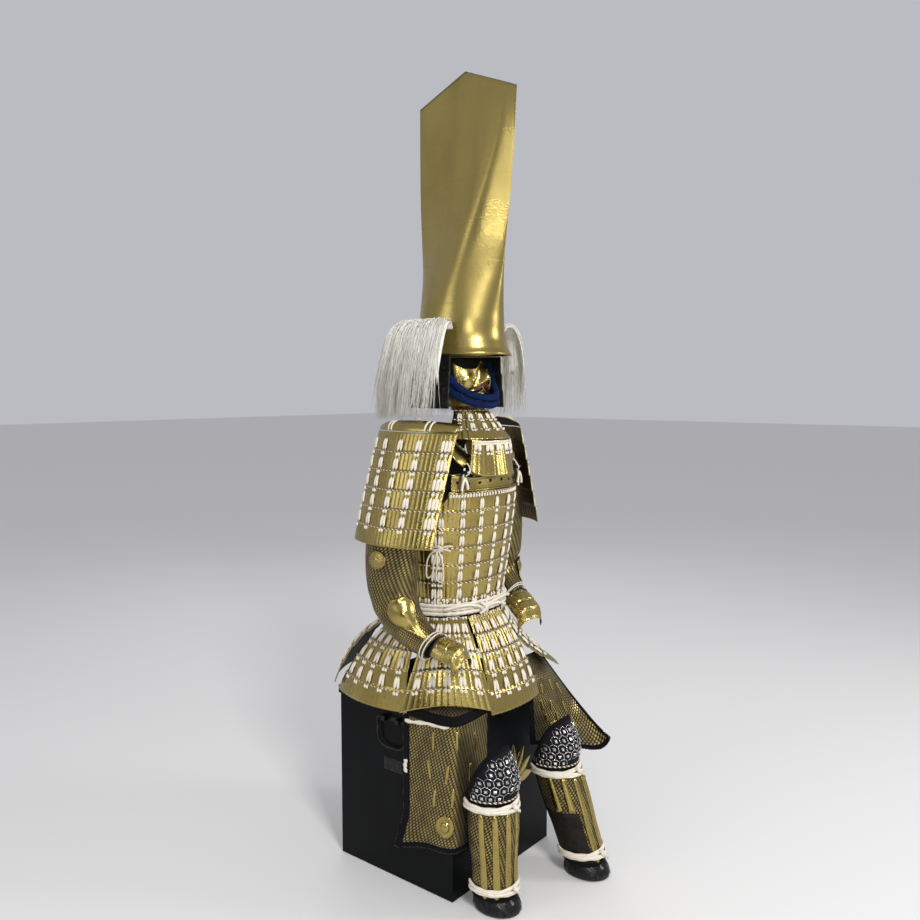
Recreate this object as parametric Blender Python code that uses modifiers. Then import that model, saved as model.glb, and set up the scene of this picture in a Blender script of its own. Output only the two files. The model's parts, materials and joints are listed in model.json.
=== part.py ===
"""Gilt samurai armour, posed as worn and seated on its black armour chest.

Units are metres, +Z is up and the armour faces -Y, so the wearer's right side is at -X.
The origin is the middle of the chest's underside, on the floor.
Angles named "around" are measured about +Z from the front (-Y), positive towards the wearer's left.
"""

import math
from collections import namedtuple

import bmesh
import bpy
import numpy as np
from mathutils import Vector

# Fits and wall thicknesses
CLEAR = 0.0003
PLATE = 0.0020
CLOTH = 0.0025
LAME_STEP = 0.0030
LAME_LEDGE = 0.0030

# Armour chest
CHEST_WIDTH = 0.440
CHEST_DEPTH = 0.410
CHEST_HEIGHT = 0.480
CHEST_WALL = 0.009
LID_WALL = 0.004
LID_HEIGHT = 0.022
HANDLE_SPAN = 0.098
HANDLE_DROP = 0.076
HANDLE_RADIUS = 0.0032
HANDLE_PIVOT_Z = 0.430
HANDLE_STANDOFF = 0.0085
LUG_SIZE = 0.013
PIVOT_PLAY = 0.0006

# Cuirass
WAIST_Z = 0.700
CHEST_LINE_Z = 1.032
BREAST_TOP_Z = 1.077
SIDE_TOP_Z = 0.930
BREAST_LAMES = 7

# Shoulder guards
SODE_WIDTH = 0.262
SODE_HEIGHT = 0.276
SODE_CURVE_RADIUS = 0.235
SODE_LAMES = 6
SODE_FLARE = 0.084

# Skirt
SKIRT_LAMES = 5
SKIRT_TOP_Z = WAIST_Z - 0.0038

# Helmet
HELMET_WALL = 0.004
HELMET_MID_Y = -0.057
DOME_TOP_Z = 1.520

Section = namedtuple("Section", "z half_width half_depth centre_y")
Ring = namedtuple("Ring", "x y z half_width half_depth lean")
Arm = namedtuple("Arm", "side guard_x guard_y guard_z guard_turn rings hand_start hand_end elbow_turn")
HelmetRow = namedtuple("HelmetRow", "z half_width front_y rear_y blade")
Tasset = namedtuple("Tasset", "name around spread foot_x foot_y foot_z half_width facing sag bulge droop")
Paint = namedtuple("Paint", "colour roughness metallic")

PAINTS = {
    "gold_leaf": Paint((0.62, 0.45, 0.16), 0.30, 1.0),
    "gold_mail": Paint((0.33, 0.24, 0.09), 0.45, 0.8),
    "black_lacquer": Paint((0.012, 0.013, 0.014), 0.30, 0.0),
    "black_iron": Paint((0.015, 0.015, 0.016), 0.45, 0.6),
    "navy_cloth": Paint((0.012, 0.028, 0.11), 0.80, 0.0),
    "white_hair": Paint((0.80, 0.77, 0.68), 0.60, 0.0),
    "white_cord": Paint((0.82, 0.76, 0.66), 0.80, 0.0),
    "knee_brocade": Paint((0.02, 0.02, 0.025), 0.70, 0.0),
    "black_fur": Paint((0.012, 0.012, 0.013), 0.50, 0.0),
}

TORSO = (
    Section(0.690, 0.146, 0.110, -0.030),
    Section(0.740, 0.147, 0.110, -0.032),
    Section(0.850, 0.158, 0.116, -0.040),
    Section(0.950, 0.167, 0.121, -0.047),
    Section(1.030, 0.170, 0.121, -0.052),
    Section(1.080, 0.162, 0.113, -0.055),
    Section(1.140, 0.138, 0.098, -0.056),
)


def clear_scene():
    for obj in list(bpy.data.objects):
        bpy.data.objects.remove(obj)


def smooth(where, places, values):
    """Catmull-Rom curve through (places, values), read at the array where."""
    places = np.asarray(places, float)
    values = np.asarray(values, float)
    slopes = np.gradient(values, places)
    where = np.clip(np.asarray(where, float), places.min(), places.max())
    k = np.clip(np.searchsorted(places, where, side="right") - 1, 0, len(places) - 2)
    width = places[k + 1] - places[k]
    t = (where - places[k]) / width
    start = (1 + 2 * t) * (1 - t) ** 2 * values[k] + t * (1 - t) ** 2 * width * slopes[k]
    end = t * t * (3 - 2 * t) * values[k + 1] + t * t * (t - 1) * width * slopes[k + 1]
    return start + end


def column(rows, field):
    return [getattr(row, field) for row in rows]


def ease(t):
    t = np.clip(t, 0.0, 1.0)
    return t * t * (3 - 2 * t)


def stack(x, y, z):
    return np.stack(np.broadcast_arrays(x, y, z), axis=-1).astype(float)


def oval(around, half_width, half_depth, centre_y, z, squareness=0.88):
    """Points on a rounded oval: a circle whose sine and cosine are raised to a power below 1."""
    s = np.sin(np.radians(around))
    c = np.cos(np.radians(around))
    x = half_width * np.sign(s) * np.abs(s) ** squareness
    y = centre_y - half_depth * np.sign(c) * np.abs(c) ** squareness
    return stack(x, y, z)


def grid(rows, columns, low=-1.0, high=1.0):
    """Parameters of a surface: u runs across it, v from its top edge to its bottom edge."""
    v, u = np.meshgrid(np.linspace(0, 1, rows), np.linspace(low, high, columns), indexing="ij")
    return u, v


def normals(surface, u, v):
    """Unit normals of a surface, from small steps along u and v."""
    step = 1e-4
    across = surface(u + step, v) - surface(u - step, v)
    down = surface(u, v + step) - surface(u, v - step)
    n = np.cross(down, across)
    return n / np.linalg.norm(n, axis=-1, keepdims=True)


def lifted(surface, u, v, lift):
    return surface(u, v) + normals(surface, u, v) * np.asarray(lift)[..., None]


def lames(surface, count, columns, height, step=LAME_STEP):
    """A surface in overlapping lames: each one's top edge stands proud and its foot tucks under the next."""
    ledge = LAME_LEDGE / height
    places = [(0.0, step)]
    for i in range(1, count):
        places += [(i / count - ledge / 2, 0.0), (i / count + ledge / 2, step)]
    places.append((1.0, step * 0.4))
    v, u = np.meshgrid([p[0] for p in places], np.linspace(-1, 1, columns), indexing="ij")
    lift = np.broadcast_to(np.array([p[1] for p in places])[:, None], v.shape)
    return lifted(surface, u, v, lift)


def mirrored(points):
    return (points * np.array([-1.0, 1.0, 1.0]))[:, ::-1]


def paint(name):
    made = bpy.data.materials.get(name)
    if made:
        return made
    made = bpy.data.materials.new(name)
    made.use_nodes = True
    shader = made.node_tree.nodes["Principled BSDF"]
    finish = PAINTS[name]
    shader.inputs["Base Color"].default_value = (*finish.colour, 1.0)
    shader.inputs["Roughness"].default_value = finish.roughness
    shader.inputs["Metallic"].default_value = finish.metallic
    return made


def add_object(name, data, finish):
    obj = bpy.data.objects.new(name, data)
    ARMOUR.objects.link(obj)
    obj.data.materials.append(paint(finish))
    return obj


def grid_faces(rows, columns, wrap):
    index = np.arange(rows * columns).reshape(rows, columns)
    if wrap:
        index = np.concatenate([index, index[:, :1]], axis=1)
    corners = (index[:-1, :-1], index[1:, :-1], index[1:, 1:], index[:-1, 1:])
    return np.stack(corners, axis=-1)


def shell(name, points, finish, thickness=PLATE, wrap=False, gap=None):
    """A wall whose outer face is the grid of points. gap leaves out a block of faces: rows and columns."""
    faces = grid_faces(*points.shape[:2], wrap)
    kept = np.ones(faces.shape[:2], bool)
    if gap:
        kept[gap] = False
    mesh = bpy.data.meshes.new(name)
    mesh.from_pydata(points.reshape(-1, 3).tolist(), [], faces[kept].tolist())
    if gap:
        drop_loose(mesh)
    mesh.shade_smooth()
    obj = add_object(name, mesh, finish)
    wall = obj.modifiers.new("Wall", "SOLIDIFY")
    wall.thickness = thickness
    wall.offset = -1.0
    return obj


def drop_loose(mesh):
    work = bmesh.new()
    work.from_mesh(mesh)
    bmesh.ops.delete(work, geom=[v for v in work.verts if not v.link_faces], context="VERTS")
    work.to_mesh(mesh)
    work.free()


def closed_rings(name, points, finish):
    """A closed solid from rings of points: each end ring is filled with strips between its two halves."""
    rows, columns = points.shape[:2]
    faces = [list(map(int, f)) for f in grid_faces(rows, columns, True).reshape(-1, 4)]
    for ring, reverse in ((0, False), (rows - 1, True)):
        base = ring * columns
        for j in range(columns // 2):
            strip = [j, j + 1, (columns - j - 1) % columns, (columns - j) % columns]
            strip = list(dict.fromkeys(base + k for k in strip))
            if len(strip) > 2:
                faces.append(strip[::-1] if reverse else strip)
    mesh = bpy.data.meshes.new(name)
    mesh.from_pydata(points.reshape(-1, 3).tolist(), [], faces)
    mesh.shade_smooth()
    return add_object(name, mesh, finish)


def tube(name, points, radius, finish, closed=False, resolution=2):
    curve = bpy.data.curves.new(name, "CURVE")
    curve.dimensions = "3D"
    curve.bevel_depth = radius
    curve.bevel_resolution = resolution
    curve.use_fill_caps = not closed
    spline = curve.splines.new("POLY")
    spline.points.add(len(points) - 1)
    spline.use_cyclic_u = closed
    for point, place in zip(spline.points, points):
        point.co = (*place, 1.0)
    return add_object(name, curve, finish)


def through(places, count):
    """A smooth curve through hand-chosen points, read at evenly spread parameters."""
    places = np.asarray(places, float)
    key = np.concatenate([[0], np.cumsum(np.linalg.norm(np.diff(places, axis=0), axis=1))])
    where = np.linspace(0, key[-1], count)
    return np.stack([smooth(where, key, places[:, k]) for k in range(3)], axis=-1)


def open_box(name, low, high, finish, wall, missing):
    """A box of boards with one face left open: its outer faces are thickened inwards."""
    mesh = bpy.data.meshes.new(name)
    work = bmesh.new()
    bmesh.ops.create_cube(work, size=1.0)
    low, high = Vector(low), Vector(high)
    for vert in work.verts:
        vert.co = Vector((low[k] + (vert.co[k] + 0.5) * (high[k] - low[k]) for k in range(3)))
    work.normal_update()
    bmesh.ops.delete(work, geom=[f for f in work.faces if f.normal.z * missing > 0.5], context="FACES_ONLY")
    work.to_mesh(mesh)
    work.free()
    obj = add_object(name, mesh, finish)
    boards = obj.modifiers.new("Boards", "SOLIDIFY")
    boards.thickness = wall
    boards.offset = -1.0
    edge = obj.modifiers.new("Edge", "BEVEL")
    edge.width = 0.0012
    edge.segments = 1
    return obj


# The torso and what lies on it


def torso(around, z, out=0.0):
    """The cuirass's outer form at a height, moved out by a distance."""
    heights = column(TORSO, "z")
    half_width = smooth(z, heights, column(TORSO, "half_width")) + out
    half_depth = smooth(z, heights, column(TORSO, "half_depth")) + out
    centre_y = smooth(z, heights, column(TORSO, "centre_y"))
    return oval(around, half_width, half_depth, centre_y, z)


def breast_surface(u, v):
    z = CHEST_LINE_Z + (WAIST_Z - CHEST_LINE_Z) * v
    reach = 89.9 - 36.0 * ease((z - SIDE_TOP_Z) / (CHEST_LINE_Z - SIDE_TOP_Z))
    return torso(u * reach, z)


def back_surface(u, v):
    z = CHEST_LINE_Z + 0.016 + (WAIST_Z - CHEST_LINE_Z - 0.016) * v
    reach = 89.9 - 34.0 * ease((z - SIDE_TOP_Z) / (CHEST_LINE_Z - SIDE_TOP_Z))
    return torso(180.0 + u * reach, z)


def breast_plate_surface(u, v):
    """The plain plate above the breast lames, its top edge higher at the middle of each side."""
    top = BREAST_TOP_Z + 0.004 * np.cos(np.pi * 2 * np.abs(u)) - 0.004
    z = top + (CHEST_LINE_Z + 0.0014 - top) * v
    return torso(u * 52.0, z, 0.0025)


def back_plate_surface(u, v):
    top = 1.118 - 0.012 * u * u
    z = top + (CHEST_LINE_Z + 0.0174 - top) * v
    return torso(180.0 + u * 54.0, z, 0.0025)


def build_cuirass():
    height = CHEST_LINE_Z - WAIST_Z
    shell("cuirass_front", lames(breast_surface, BREAST_LAMES, 15, height), "gold_leaf")
    shell("cuirass_back", lames(back_surface, BREAST_LAMES, 13, height), "gold_leaf")
    u, v = grid(3, 13)
    shell("breast_plate", breast_plate_surface(u, v), "gold_leaf")
    u, v = grid(4, 13)
    shell("back_plate", back_plate_surface(u, v), "gold_leaf")


STRAP_PATH = (
    (-0.108, 0.0500, 1.1150),
    (-0.113, 0.0460, 1.1450),
    (-0.118, 0.0180, 1.1710),
    (-0.120, -0.0250, 1.1790),
    (-0.117, -0.0680, 1.1740),
    (-0.109, -0.1060, 1.1560),
    (-0.100, -0.1360, 1.1280),
    (-0.095, -0.1510, 1.1020),
)
STRAP_WIDTH = 0.066


def strap_surface(u, v):
    """A shoulder strap: a band carried from the back plate over the shoulder, rounded at its front end."""
    key = np.linspace(0, 1, len(STRAP_PATH))
    path = np.array(STRAP_PATH)
    half = 0.5 * STRAP_WIDTH * np.sqrt(np.clip(1 - 0.75 * ease((v - 0.84) / 0.16) ** 2, 0.05, 1))
    dish = 0.006 * u * u
    x = smooth(v, key, path[:, 0]) + half * u
    y = smooth(v, key, path[:, 1]) + dish * 0.2
    z = smooth(v, key, path[:, 2]) - dish
    return stack(x, y, z)


def collar_surface(u, v):
    """The standing collar round the back and sides of the neck, flared outwards at its top."""
    flare = 0.020 * (1 - v) ** 1.3
    z = 1.1995 - 0.008 * np.abs(u) + (1.1610 - 1.1995 + 0.008 * np.abs(u)) * v
    return oval(180.0 + u * 112.0, 0.070 + flare, 0.072 + flare, -0.040, z, 1.0)


def build_shoulders():
    u, v = grid(11, 4)
    right = strap_surface(u, v)[:, ::-1]
    shell("shoulder_strap_right", right, "gold_leaf")
    shell("shoulder_strap_left", mirrored(right), "gold_leaf")
    u, v = grid(3, 15)
    shell("neck_collar", collar_surface(u, v), "gold_leaf")
    for side, sign in (("right", -1), ("left", 1)):
        toggle = [
            (sign * 0.1130, -0.1570, 1.0940),
            (sign * 0.1200, -0.1580, 1.0720),
            (sign * 0.1230, -0.1580, 1.0500),
            (sign * 0.1230, -0.1575, 1.0300),
        ]
        tube(f"strap_cord_{side}", through(toggle, 6), 0.0028, "white_cord")


# The shoulder guards


SODE_TURN = math.asin(0.5 * SODE_WIDTH / SODE_CURVE_RADIUS)


def placed(arm, out, ahead, z):
    """Place a point given outwards from the arm and ahead of the guard's middle, on the arm's own side."""
    side = -1.0 if arm.side == "right" else 1.0
    c, s = math.cos(arm.guard_turn), math.sin(arm.guard_turn)
    x = side * (arm.guard_x + out * c - ahead * s)
    y = arm.guard_y - ahead * c - out * s
    return stack(x, y, z)


def sode_surface(arm):
    """A shoulder guard: an arc in plan, hung with its foot flared away from the arm."""

    def surface(u, v):
        flare = SODE_FLARE * np.clip(v, 0, 1) ** 0.9
        out = flare - SODE_CURVE_RADIUS * (1 - np.cos(SODE_TURN * u))
        ahead = SODE_CURVE_RADIUS * np.sin(SODE_TURN * u) - 0.012 * v
        return placed(arm, out, ahead, arm.guard_z - SODE_HEIGHT * v)

    return surface


def crown_surface(arm):
    """The plate on the guard's top edge, rolled in over the shoulder, its ends lower than its middle."""

    def surface(u, v):
        lean = (1 - v) * math.radians(84)
        rise = (0.026 - 0.008 * u * u) * np.sin(lean)
        roll = 0.034 * (1 - np.cos(lean))
        out = 0.003 - roll - SODE_CURVE_RADIUS * (1 - np.cos(SODE_TURN * u))
        ahead = SODE_CURVE_RADIUS * np.sin(SODE_TURN * u)
        return placed(arm, out, ahead, arm.guard_z + LAME_STEP + CLEAR + rise)

    return surface


def outward(points, side):
    """Turn a grid so that its outer face looks away from the body on either side."""
    return points if side == "right" else points[:, ::-1]


def build_shoulder_guards():
    for arm in ARMS:
        points = lames(sode_surface(arm), SODE_LAMES, 11, SODE_HEIGHT, GUARD_LIFT[arm.side])
        shell(f"shoulder_guard_{arm.side}", outward(points, arm.side), "gold_leaf")
        u, v = grid(4, 11)
        shell(f"guard_crown_{arm.side}", outward(crown_surface(arm)(u, v), arm.side), "gold_leaf")
        side = -1.0 if arm.side == "right" else 1.0
        edge = placed(arm, -0.024, 0.020, arm.guard_z + 0.0338)
        strap = np.array([side * 0.118, -0.045, 1.1840])
        middle = (edge + strap) / 2 + np.array([0.0, 0.0, 0.004])
        tube(f"guard_cord_{arm.side}", through([edge, middle, strap], 5), 0.0026, "white_cord")


# The skirt of tassets

TASSETS = (
    Tasset("front", 0, 25.0, 0.011, -0.2520, 0.4600, 0.110, 0, 0.018, 0.012, 0.0),
    Tasset("front_right", -51, 23.5, -0.2060, -0.1760, 0.5010, 0.121, -50, 0.016, 0.016, 0.022),
    Tasset("side_right", -101, 24.0, -0.2640, 0.0650, 0.4720, 0.138, -95, 0.030, 0.026, 0.0),
    Tasset("back_right", -153, 25.5, -0.1330, 0.2780, 0.4900, 0.122, -153, 0.020, 0.028, 0.0),
    Tasset("back_left", 153, 25.5, 0.1330, 0.2780, 0.4900, 0.122, 153, 0.020, 0.028, 0.0),
    Tasset("side_left", 101, 23.5, 0.2700, 0.0550, 0.4900, 0.124, 97, 0.030, 0.026, 0.0),
    Tasset("front_left", 51, 23.5, 0.2830, -0.1550, 0.5150, 0.098, 58, 0.012, -0.012, 0.0),
)


def tasset_surface(row):
    """A tasset: ruled from an arc of the waist down to its own curved foot, with an outward swell."""
    facing = math.radians(row.facing)
    out = np.array([math.sin(facing), -math.cos(facing), 0.0])
    along = np.array([math.cos(facing), math.sin(facing), 0.0])
    foot = np.array([row.foot_x, row.foot_y, row.foot_z])
    uneven = 0.9 if row.bulge < 0 else 0.0

    def surface(u, v):
        top = torso(row.around + u * row.spread, np.full_like(u, SKIRT_TOP_Z))
        reach = (along * row.half_width) * u[..., None] - out * (row.sag * u * u)[..., None]
        swell = np.sin(np.pi * v) * row.bulge * (1 - uneven * u)
        lifted_swell = out * swell[..., None] + np.array([0, 0, 0.7]) * swell[..., None]
        share = v[..., None]
        droop = np.array([0, 0, -1.0]) * (row.droop * u * u)[..., None]
        return top * (1 - share) + (foot + reach + droop) * share + lifted_swell

    return surface


def build_skirt():
    for row in TASSETS:
        points = lames(tasset_surface(row), SKIRT_LAMES, 7, 0.26)
        shell(f"tasset_{row.name}", points, "gold_leaf")


def build_waist_cords():
    around = np.linspace(0, 360, 24, endpoint=False)
    for i, (z, out) in enumerate(((0.7300, 0.0086), (0.7195, 0.0088), (0.7085, 0.0086))):
        path = torso(around, np.full_like(around, z) + 0.003 * np.cos(np.radians(around)), out)
        tube(f"waist_cord_{i + 1}", path, 0.0048, "white_cord", closed=True, resolution=1)


# The helmet, neck guard and hair

HELMET = (
    HelmetRow(1.384, 0.1130, -0.2010, 0.0870, 0.00),
    HelmetRow(1.395, 0.1090, -0.1930, 0.0800, 0.00),
    HelmetRow(1.420, 0.1030, -0.1820, 0.0730, 0.00),
    HelmetRow(1.480, 0.0990, -0.1790, 0.0690, 0.05),
    HelmetRow(1.560, 0.0860, -0.1870, 0.0740, 0.35),
    HelmetRow(1.660, 0.0640, -0.2000, 0.0820, 0.80),
    HelmetRow(1.780, 0.0430, -0.2140, 0.0880, 1.00),
    HelmetRow(1.920, 0.0240, -0.2260, 0.0900, 1.00),
    HelmetRow(2.020, 0.0120, -0.2320, 0.0900, 1.00),
    HelmetRow(2.055, 0.0075, -0.2340, 0.0900, 1.00),
)
HELMET_PEAK = 0.066


def helmet_ring(turn, z, inset=0.0):
    """One section of the helmet: an oval at the bowl, and higher up a kite, widest near its front.

    turn goes round the section from the rear; the share "blade" mixes the oval with the kite.
    """
    heights = column(HELMET, "z")
    half_width = smooth(z, heights, column(HELMET, "half_width")) - inset
    front = smooth(z, heights, column(HELMET, "front_y")) + inset
    rear = smooth(z, heights, column(HELMET, "rear_y")) - inset
    blade = smooth(z, heights, column(HELMET, "blade"))
    s = (1 - np.cos(turn)) / 2
    widest = 0.70
    to_rear = np.maximum(s / widest, 1e-6)
    to_front = np.maximum((1 - s) / (1 - widest), 1e-6)
    kite = (to_rear ** -3.0 + to_front ** -3.0) ** (-1 / 3)
    kite = kite * 1.22
    share = (1 - blade) * np.abs(np.sin(turn)) + blade * np.minimum(kite, 1.0)
    x = -half_width * share * np.sign(np.sin(turn))
    return stack(x, rear + (front - rear) * s, z)


def helmet_grid(columns, outer_rows, inner_rows):
    """Rings from the peaked top edge down to the rim, over it, and up inside the bowl to its crown."""
    turn = np.linspace(0, 2 * math.pi, columns, endpoint=False)
    heights = HELMET[-1].z + (HELMET[0].z - HELMET[-1].z) * np.linspace(0, 1, outer_rows) ** 0.9
    rings = []
    for z in heights:
        ring = helmet_ring(turn, np.full(columns, z))
        peak = 1 - np.abs(2 * (1 - np.cos(turn)) / 2 - 1)
        ring[:, 2] += HELMET_PEAK * peak * ease((z - 1.60) / (HELMET[-1].z - 1.60))
        rings.append(ring)
    for t in np.linspace(0, 1, inner_rows):
        z = HELMET[0].z + (DOME_TOP_Z - HELMET[0].z) * math.sin(t * math.pi * 0.46)
        ring = helmet_ring(turn, np.full(columns, z), HELMET_WALL)
        centre = np.array([0.0, HELMET_MID_Y, z])
        shrink = math.cos(t * math.pi * 0.46) ** 0.6
        rings.append(centre + (ring - centre) * np.array([shrink, shrink, 1.0]))
    return np.array(rings)


def neck_guard_surface(u, v):
    """The neck guard: a curtain of three lames from temple to temple, hung from the helmet's rim."""
    z = HELMET[0].z - 0.0012 + (1.246 - HELMET[0].z) * v
    return oval(180.0 + u * 110.0, 0.112 + 0.014 * v, 0.142 + 0.010 * v, HELMET_MID_Y, z, 1.0)


HAIR_PROFILE = np.array(
    [
        (0.0130, 1.452), (0.030, 1.470), (0.056, 1.468), (0.080, 1.438),
        (0.098, 1.385), (0.107, 1.325), (0.109, 1.234),
    ]
)


def hair_surface(u, v):
    """The hair: it rises from the bowl, turns over and falls, in shallow locks that part at the tips."""
    key = np.linspace(0, 1, len(HAIR_PROFILE))
    out = smooth(v, key, HAIR_PROFILE[:, 0])
    z = smooth(v, key, HAIR_PROFILE[:, 1])
    around = 180.0 + u * 114.0
    lock = np.cos(u * math.pi * 15) * (0.0022 + 0.0050 * v)
    z = z + 0.008 * np.cos(u * math.pi * 15 + 0.6) * ease((v - 0.6) / 0.4)
    return oval(around, 0.103 + out + lock, 0.126 + out + lock, HELMET_MID_Y, z, 1.0)


def build_helmet():
    closed_rings("helmet", helmet_grid(26, 13, 5), "gold_leaf")
    shell("neck_guard", lames(neck_guard_surface, 3, 15, 0.15), "black_iron")
    u, v = grid(6, 37)
    shell("hair", hair_surface(u, v), "white_hair", 0.010)


# The mask and throat guard


def mask_surface(u, v):
    """The half mask: an oval of jaw and cheeks, with a nose, cheek bones, a lip and a jutting chin."""
    side = np.abs(u)
    bridge = np.exp(-((u / 0.10) ** 2))
    top = 1.349 + 0.021 * bridge + 0.018 * ease((side - 0.45) / 0.5)
    z = top + (1.240 - top) * v
    depth = smooth(v, [0, 0.35, 0.7, 0.88, 1.0], [0.0600, 0.0660, 0.0660, 0.0680, 0.0560])
    width = smooth(v, [0, 0.4, 0.75, 1.0], [0.0745, 0.0750, 0.0680, 0.0540])
    nose = 0.024 * np.exp(-((u / (0.09 + 0.10 * v)) ** 2)) * ease(v / 0.36) * ease((0.46 - v) / 0.10)
    cheek = 0.007 * np.exp(-(((side - 0.42) / 0.17) ** 2) - ((v - 0.26) / 0.14) ** 2)
    lip = 0.005 * np.exp(-((u / 0.34) ** 2) - ((v - 0.45) / 0.05) ** 2)
    chin = 0.006 * np.exp(-((u / 0.25) ** 2) - ((v - 0.86) / 0.10) ** 2)
    swell = nose + cheek + lip + chin
    return oval(u * 88.0, width + swell * 0.5, depth + swell, -0.062, z, 1.0)


def throat_surface(u, v):
    z = 1.239 + (1.166 - 1.239) * v
    flare = np.clip(v, 0, 1) ** 1.2
    return oval(u * (80.0 - 6.0 * v), 0.058 + 0.054 * flare, 0.064 + 0.064 * flare, -0.066, z, 1.0)


def throat_flap_surface(u, v):
    z = 1.1652 + (1.070 + 0.016 * u ** 6 - 1.1652) * v
    return oval(u * (44.0 + 7 * v), 0.1140, 0.1220 + 0.018 * v, -0.066, z, 1.0)


CHIN_CORD = (
    (-0.1010, -0.070, 1.3700),
    (-0.0975, -0.076, 1.3440),
    (-0.0880, -0.091, 1.3180),
    (-0.0680, -0.121, 1.2880),
    (-0.0380, -0.141, 1.2760),
    (0.0, -0.1500, 1.2720),
)


def beside(path, distance):
    """The path moved square to itself by a distance, as nearly downwards as it can go."""
    along = np.gradient(path, axis=0)
    along /= np.linalg.norm(along, axis=1, keepdims=True)
    down = np.array([0.0, 0.0, -1.0]) + along * along[:, 2:3]
    return path + down / np.linalg.norm(down, axis=1, keepdims=True) * distance


def build_mask():
    u, v = grid(11, 19)
    mouth = (slice(5, 6), slice(6, 12))
    shell("mask", mask_surface(u, v), "gold_leaf", gap=mouth)
    shell("throat_guard", lames(throat_surface, 3, 13, 0.12), "gold_leaf")
    u, v = grid(4, 11)
    shell("throat_flap", throat_flap_surface(u, v), "gold_leaf")
    half = np.array(CHIN_CORD)
    whole = np.concatenate([half, half[-2::-1] * np.array([-1.0, 1.0, 1.0])])
    path = through(whole, 21)
    tube("chin_cord_upper", path, 0.0095, "navy_cloth")
    tube("chin_cord_lower", beside(path, 0.0198)[3:-3], 0.0095, "navy_cloth")


# The armoured sleeves and hand guards

RIGHT_RINGS = (
    Ring(0.2000, -0.0350, 1.1150, 0.0280, 0.062, 0),
    Ring(0.2150, -0.0330, 1.0800, 0.0400, 0.074, 0),
    Ring(0.2330, -0.0320, 1.0000, 0.0480, 0.080, 0),
    Ring(0.2450, -0.0280, 0.9000, 0.0510, 0.081, -2),
    Ring(0.2530, -0.0320, 0.8200, 0.0510, 0.076, -6),
    Ring(0.2570, -0.0490, 0.7560, 0.0490, 0.064, -26),
    Ring(0.2540, -0.0840, 0.7080, 0.0440, 0.052, -46),
    Ring(0.2460, -0.1230, 0.6760, 0.0380, 0.041, -56),
    Ring(0.2360, -0.1580, 0.6560, 0.0330, 0.035, -60),
)
LEFT_RINGS = (
    Ring(0.1950, -0.0150, 1.1150, 0.0280, 0.062, 0),
    Ring(0.2080, -0.0120, 1.0800, 0.0390, 0.074, 0),
    Ring(0.2230, -0.0060, 1.0000, 0.0450, 0.084, 0),
    Ring(0.2380, 0.0030, 0.9000, 0.0480, 0.088, -2),
    Ring(0.2480, 0.0120, 0.8200, 0.0500, 0.086, -6),
    Ring(0.2500, 0.0080, 0.7700, 0.0490, 0.074, -22),
    Ring(0.2430, -0.0180, 0.7320, 0.0440, 0.058, -42),
    Ring(0.2320, -0.0480, 0.7100, 0.0370, 0.045, -52),
    Ring(0.2200, -0.0760, 0.6900, 0.0330, 0.036, -54),
)
ARMS = (
    Arm("right", 0.238, -0.074, 1.187, 0.0, RIGHT_RINGS,
        (-0.2345, -0.1690, 0.6530), (-0.2190, -0.2460, 0.6290), -45),
    Arm("left", 0.230, -0.012, 1.187, math.radians(12), LEFT_RINGS,
        (0.2190, -0.0830, 0.6860), (0.1960, -0.1610, 0.6335), -45),
)
GUARD_LIFT = {"right": LAME_STEP, "left": -LAME_STEP}


def sleeve_surface(arm):
    """A sleeve: ovals carried along the arm, each leaned forward by its own angle."""
    side = -1.0 if arm.side == "right" else 1.0

    def surface(turn, v):
        key = np.linspace(0, 1, len(arm.rings))
        x, y, z, half_width, half_depth, lean = (smooth(v, key, column(arm.rings, f)) for f in Ring._fields)
        lean = np.radians(lean)
        across = half_width * np.sin(turn)
        ahead = -half_depth * np.cos(turn)
        return stack(side * (x - across), y + ahead * np.cos(lean), z + ahead * np.sin(lean))

    return surface


def build_sleeves():
    turn = np.linspace(0, 2 * math.pi, 12, endpoint=False)
    v, turn = np.meshgrid(np.linspace(0, 1, 11), turn, indexing="ij")
    for arm in ARMS:
        points = outward(sleeve_surface(arm)(turn, v), arm.side)
        shell(f"sleeve_{arm.side}", points, "gold_mail", CLOTH, wrap=True)


def over_sleeve(arm, turn, v, lift):
    sleeve = sleeve_surface(arm)
    side = 1.0 if arm.side == "right" else -1.0
    return lifted(sleeve, turn, v, side * np.asarray(lift))


def elbow_plate(arm, u, v):
    """A domed plate riding on the elbow, drawn out to a rounded tail down the forearm."""
    width = smooth(v, [0, 0.12, 0.35, 0.6, 0.8, 1.0], [0.35, 0.85, 1.0, 0.72, 0.45, 0.16])
    turn = math.radians(arm.elbow_turn) + u * math.radians(36) * width
    dome = 0.010 * np.exp(-((u / 0.75) ** 2) - ((v - 0.33) / 0.22) ** 2)
    return over_sleeve(arm, turn, 0.61 + 0.34 * v, 0.0042 + dome)


def build_arm_fittings():
    for arm in ARMS:
        u, v = grid(7, 5)
        plate = outward(elbow_plate(arm, u, v), arm.side)
        shell(f"elbow_plate_{arm.side}", plate, "gold_leaf")
        turn = np.linspace(0, 2 * math.pi, 12, endpoint=False)
        place = 0.985 - 0.010 * np.cos(turn - math.radians(36))
        loop = over_sleeve(arm, turn, place, 0.0046)
        tube(f"wrist_cord_{arm.side}", loop, 0.0028, "white_cord", closed=True, resolution=1)


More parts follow.
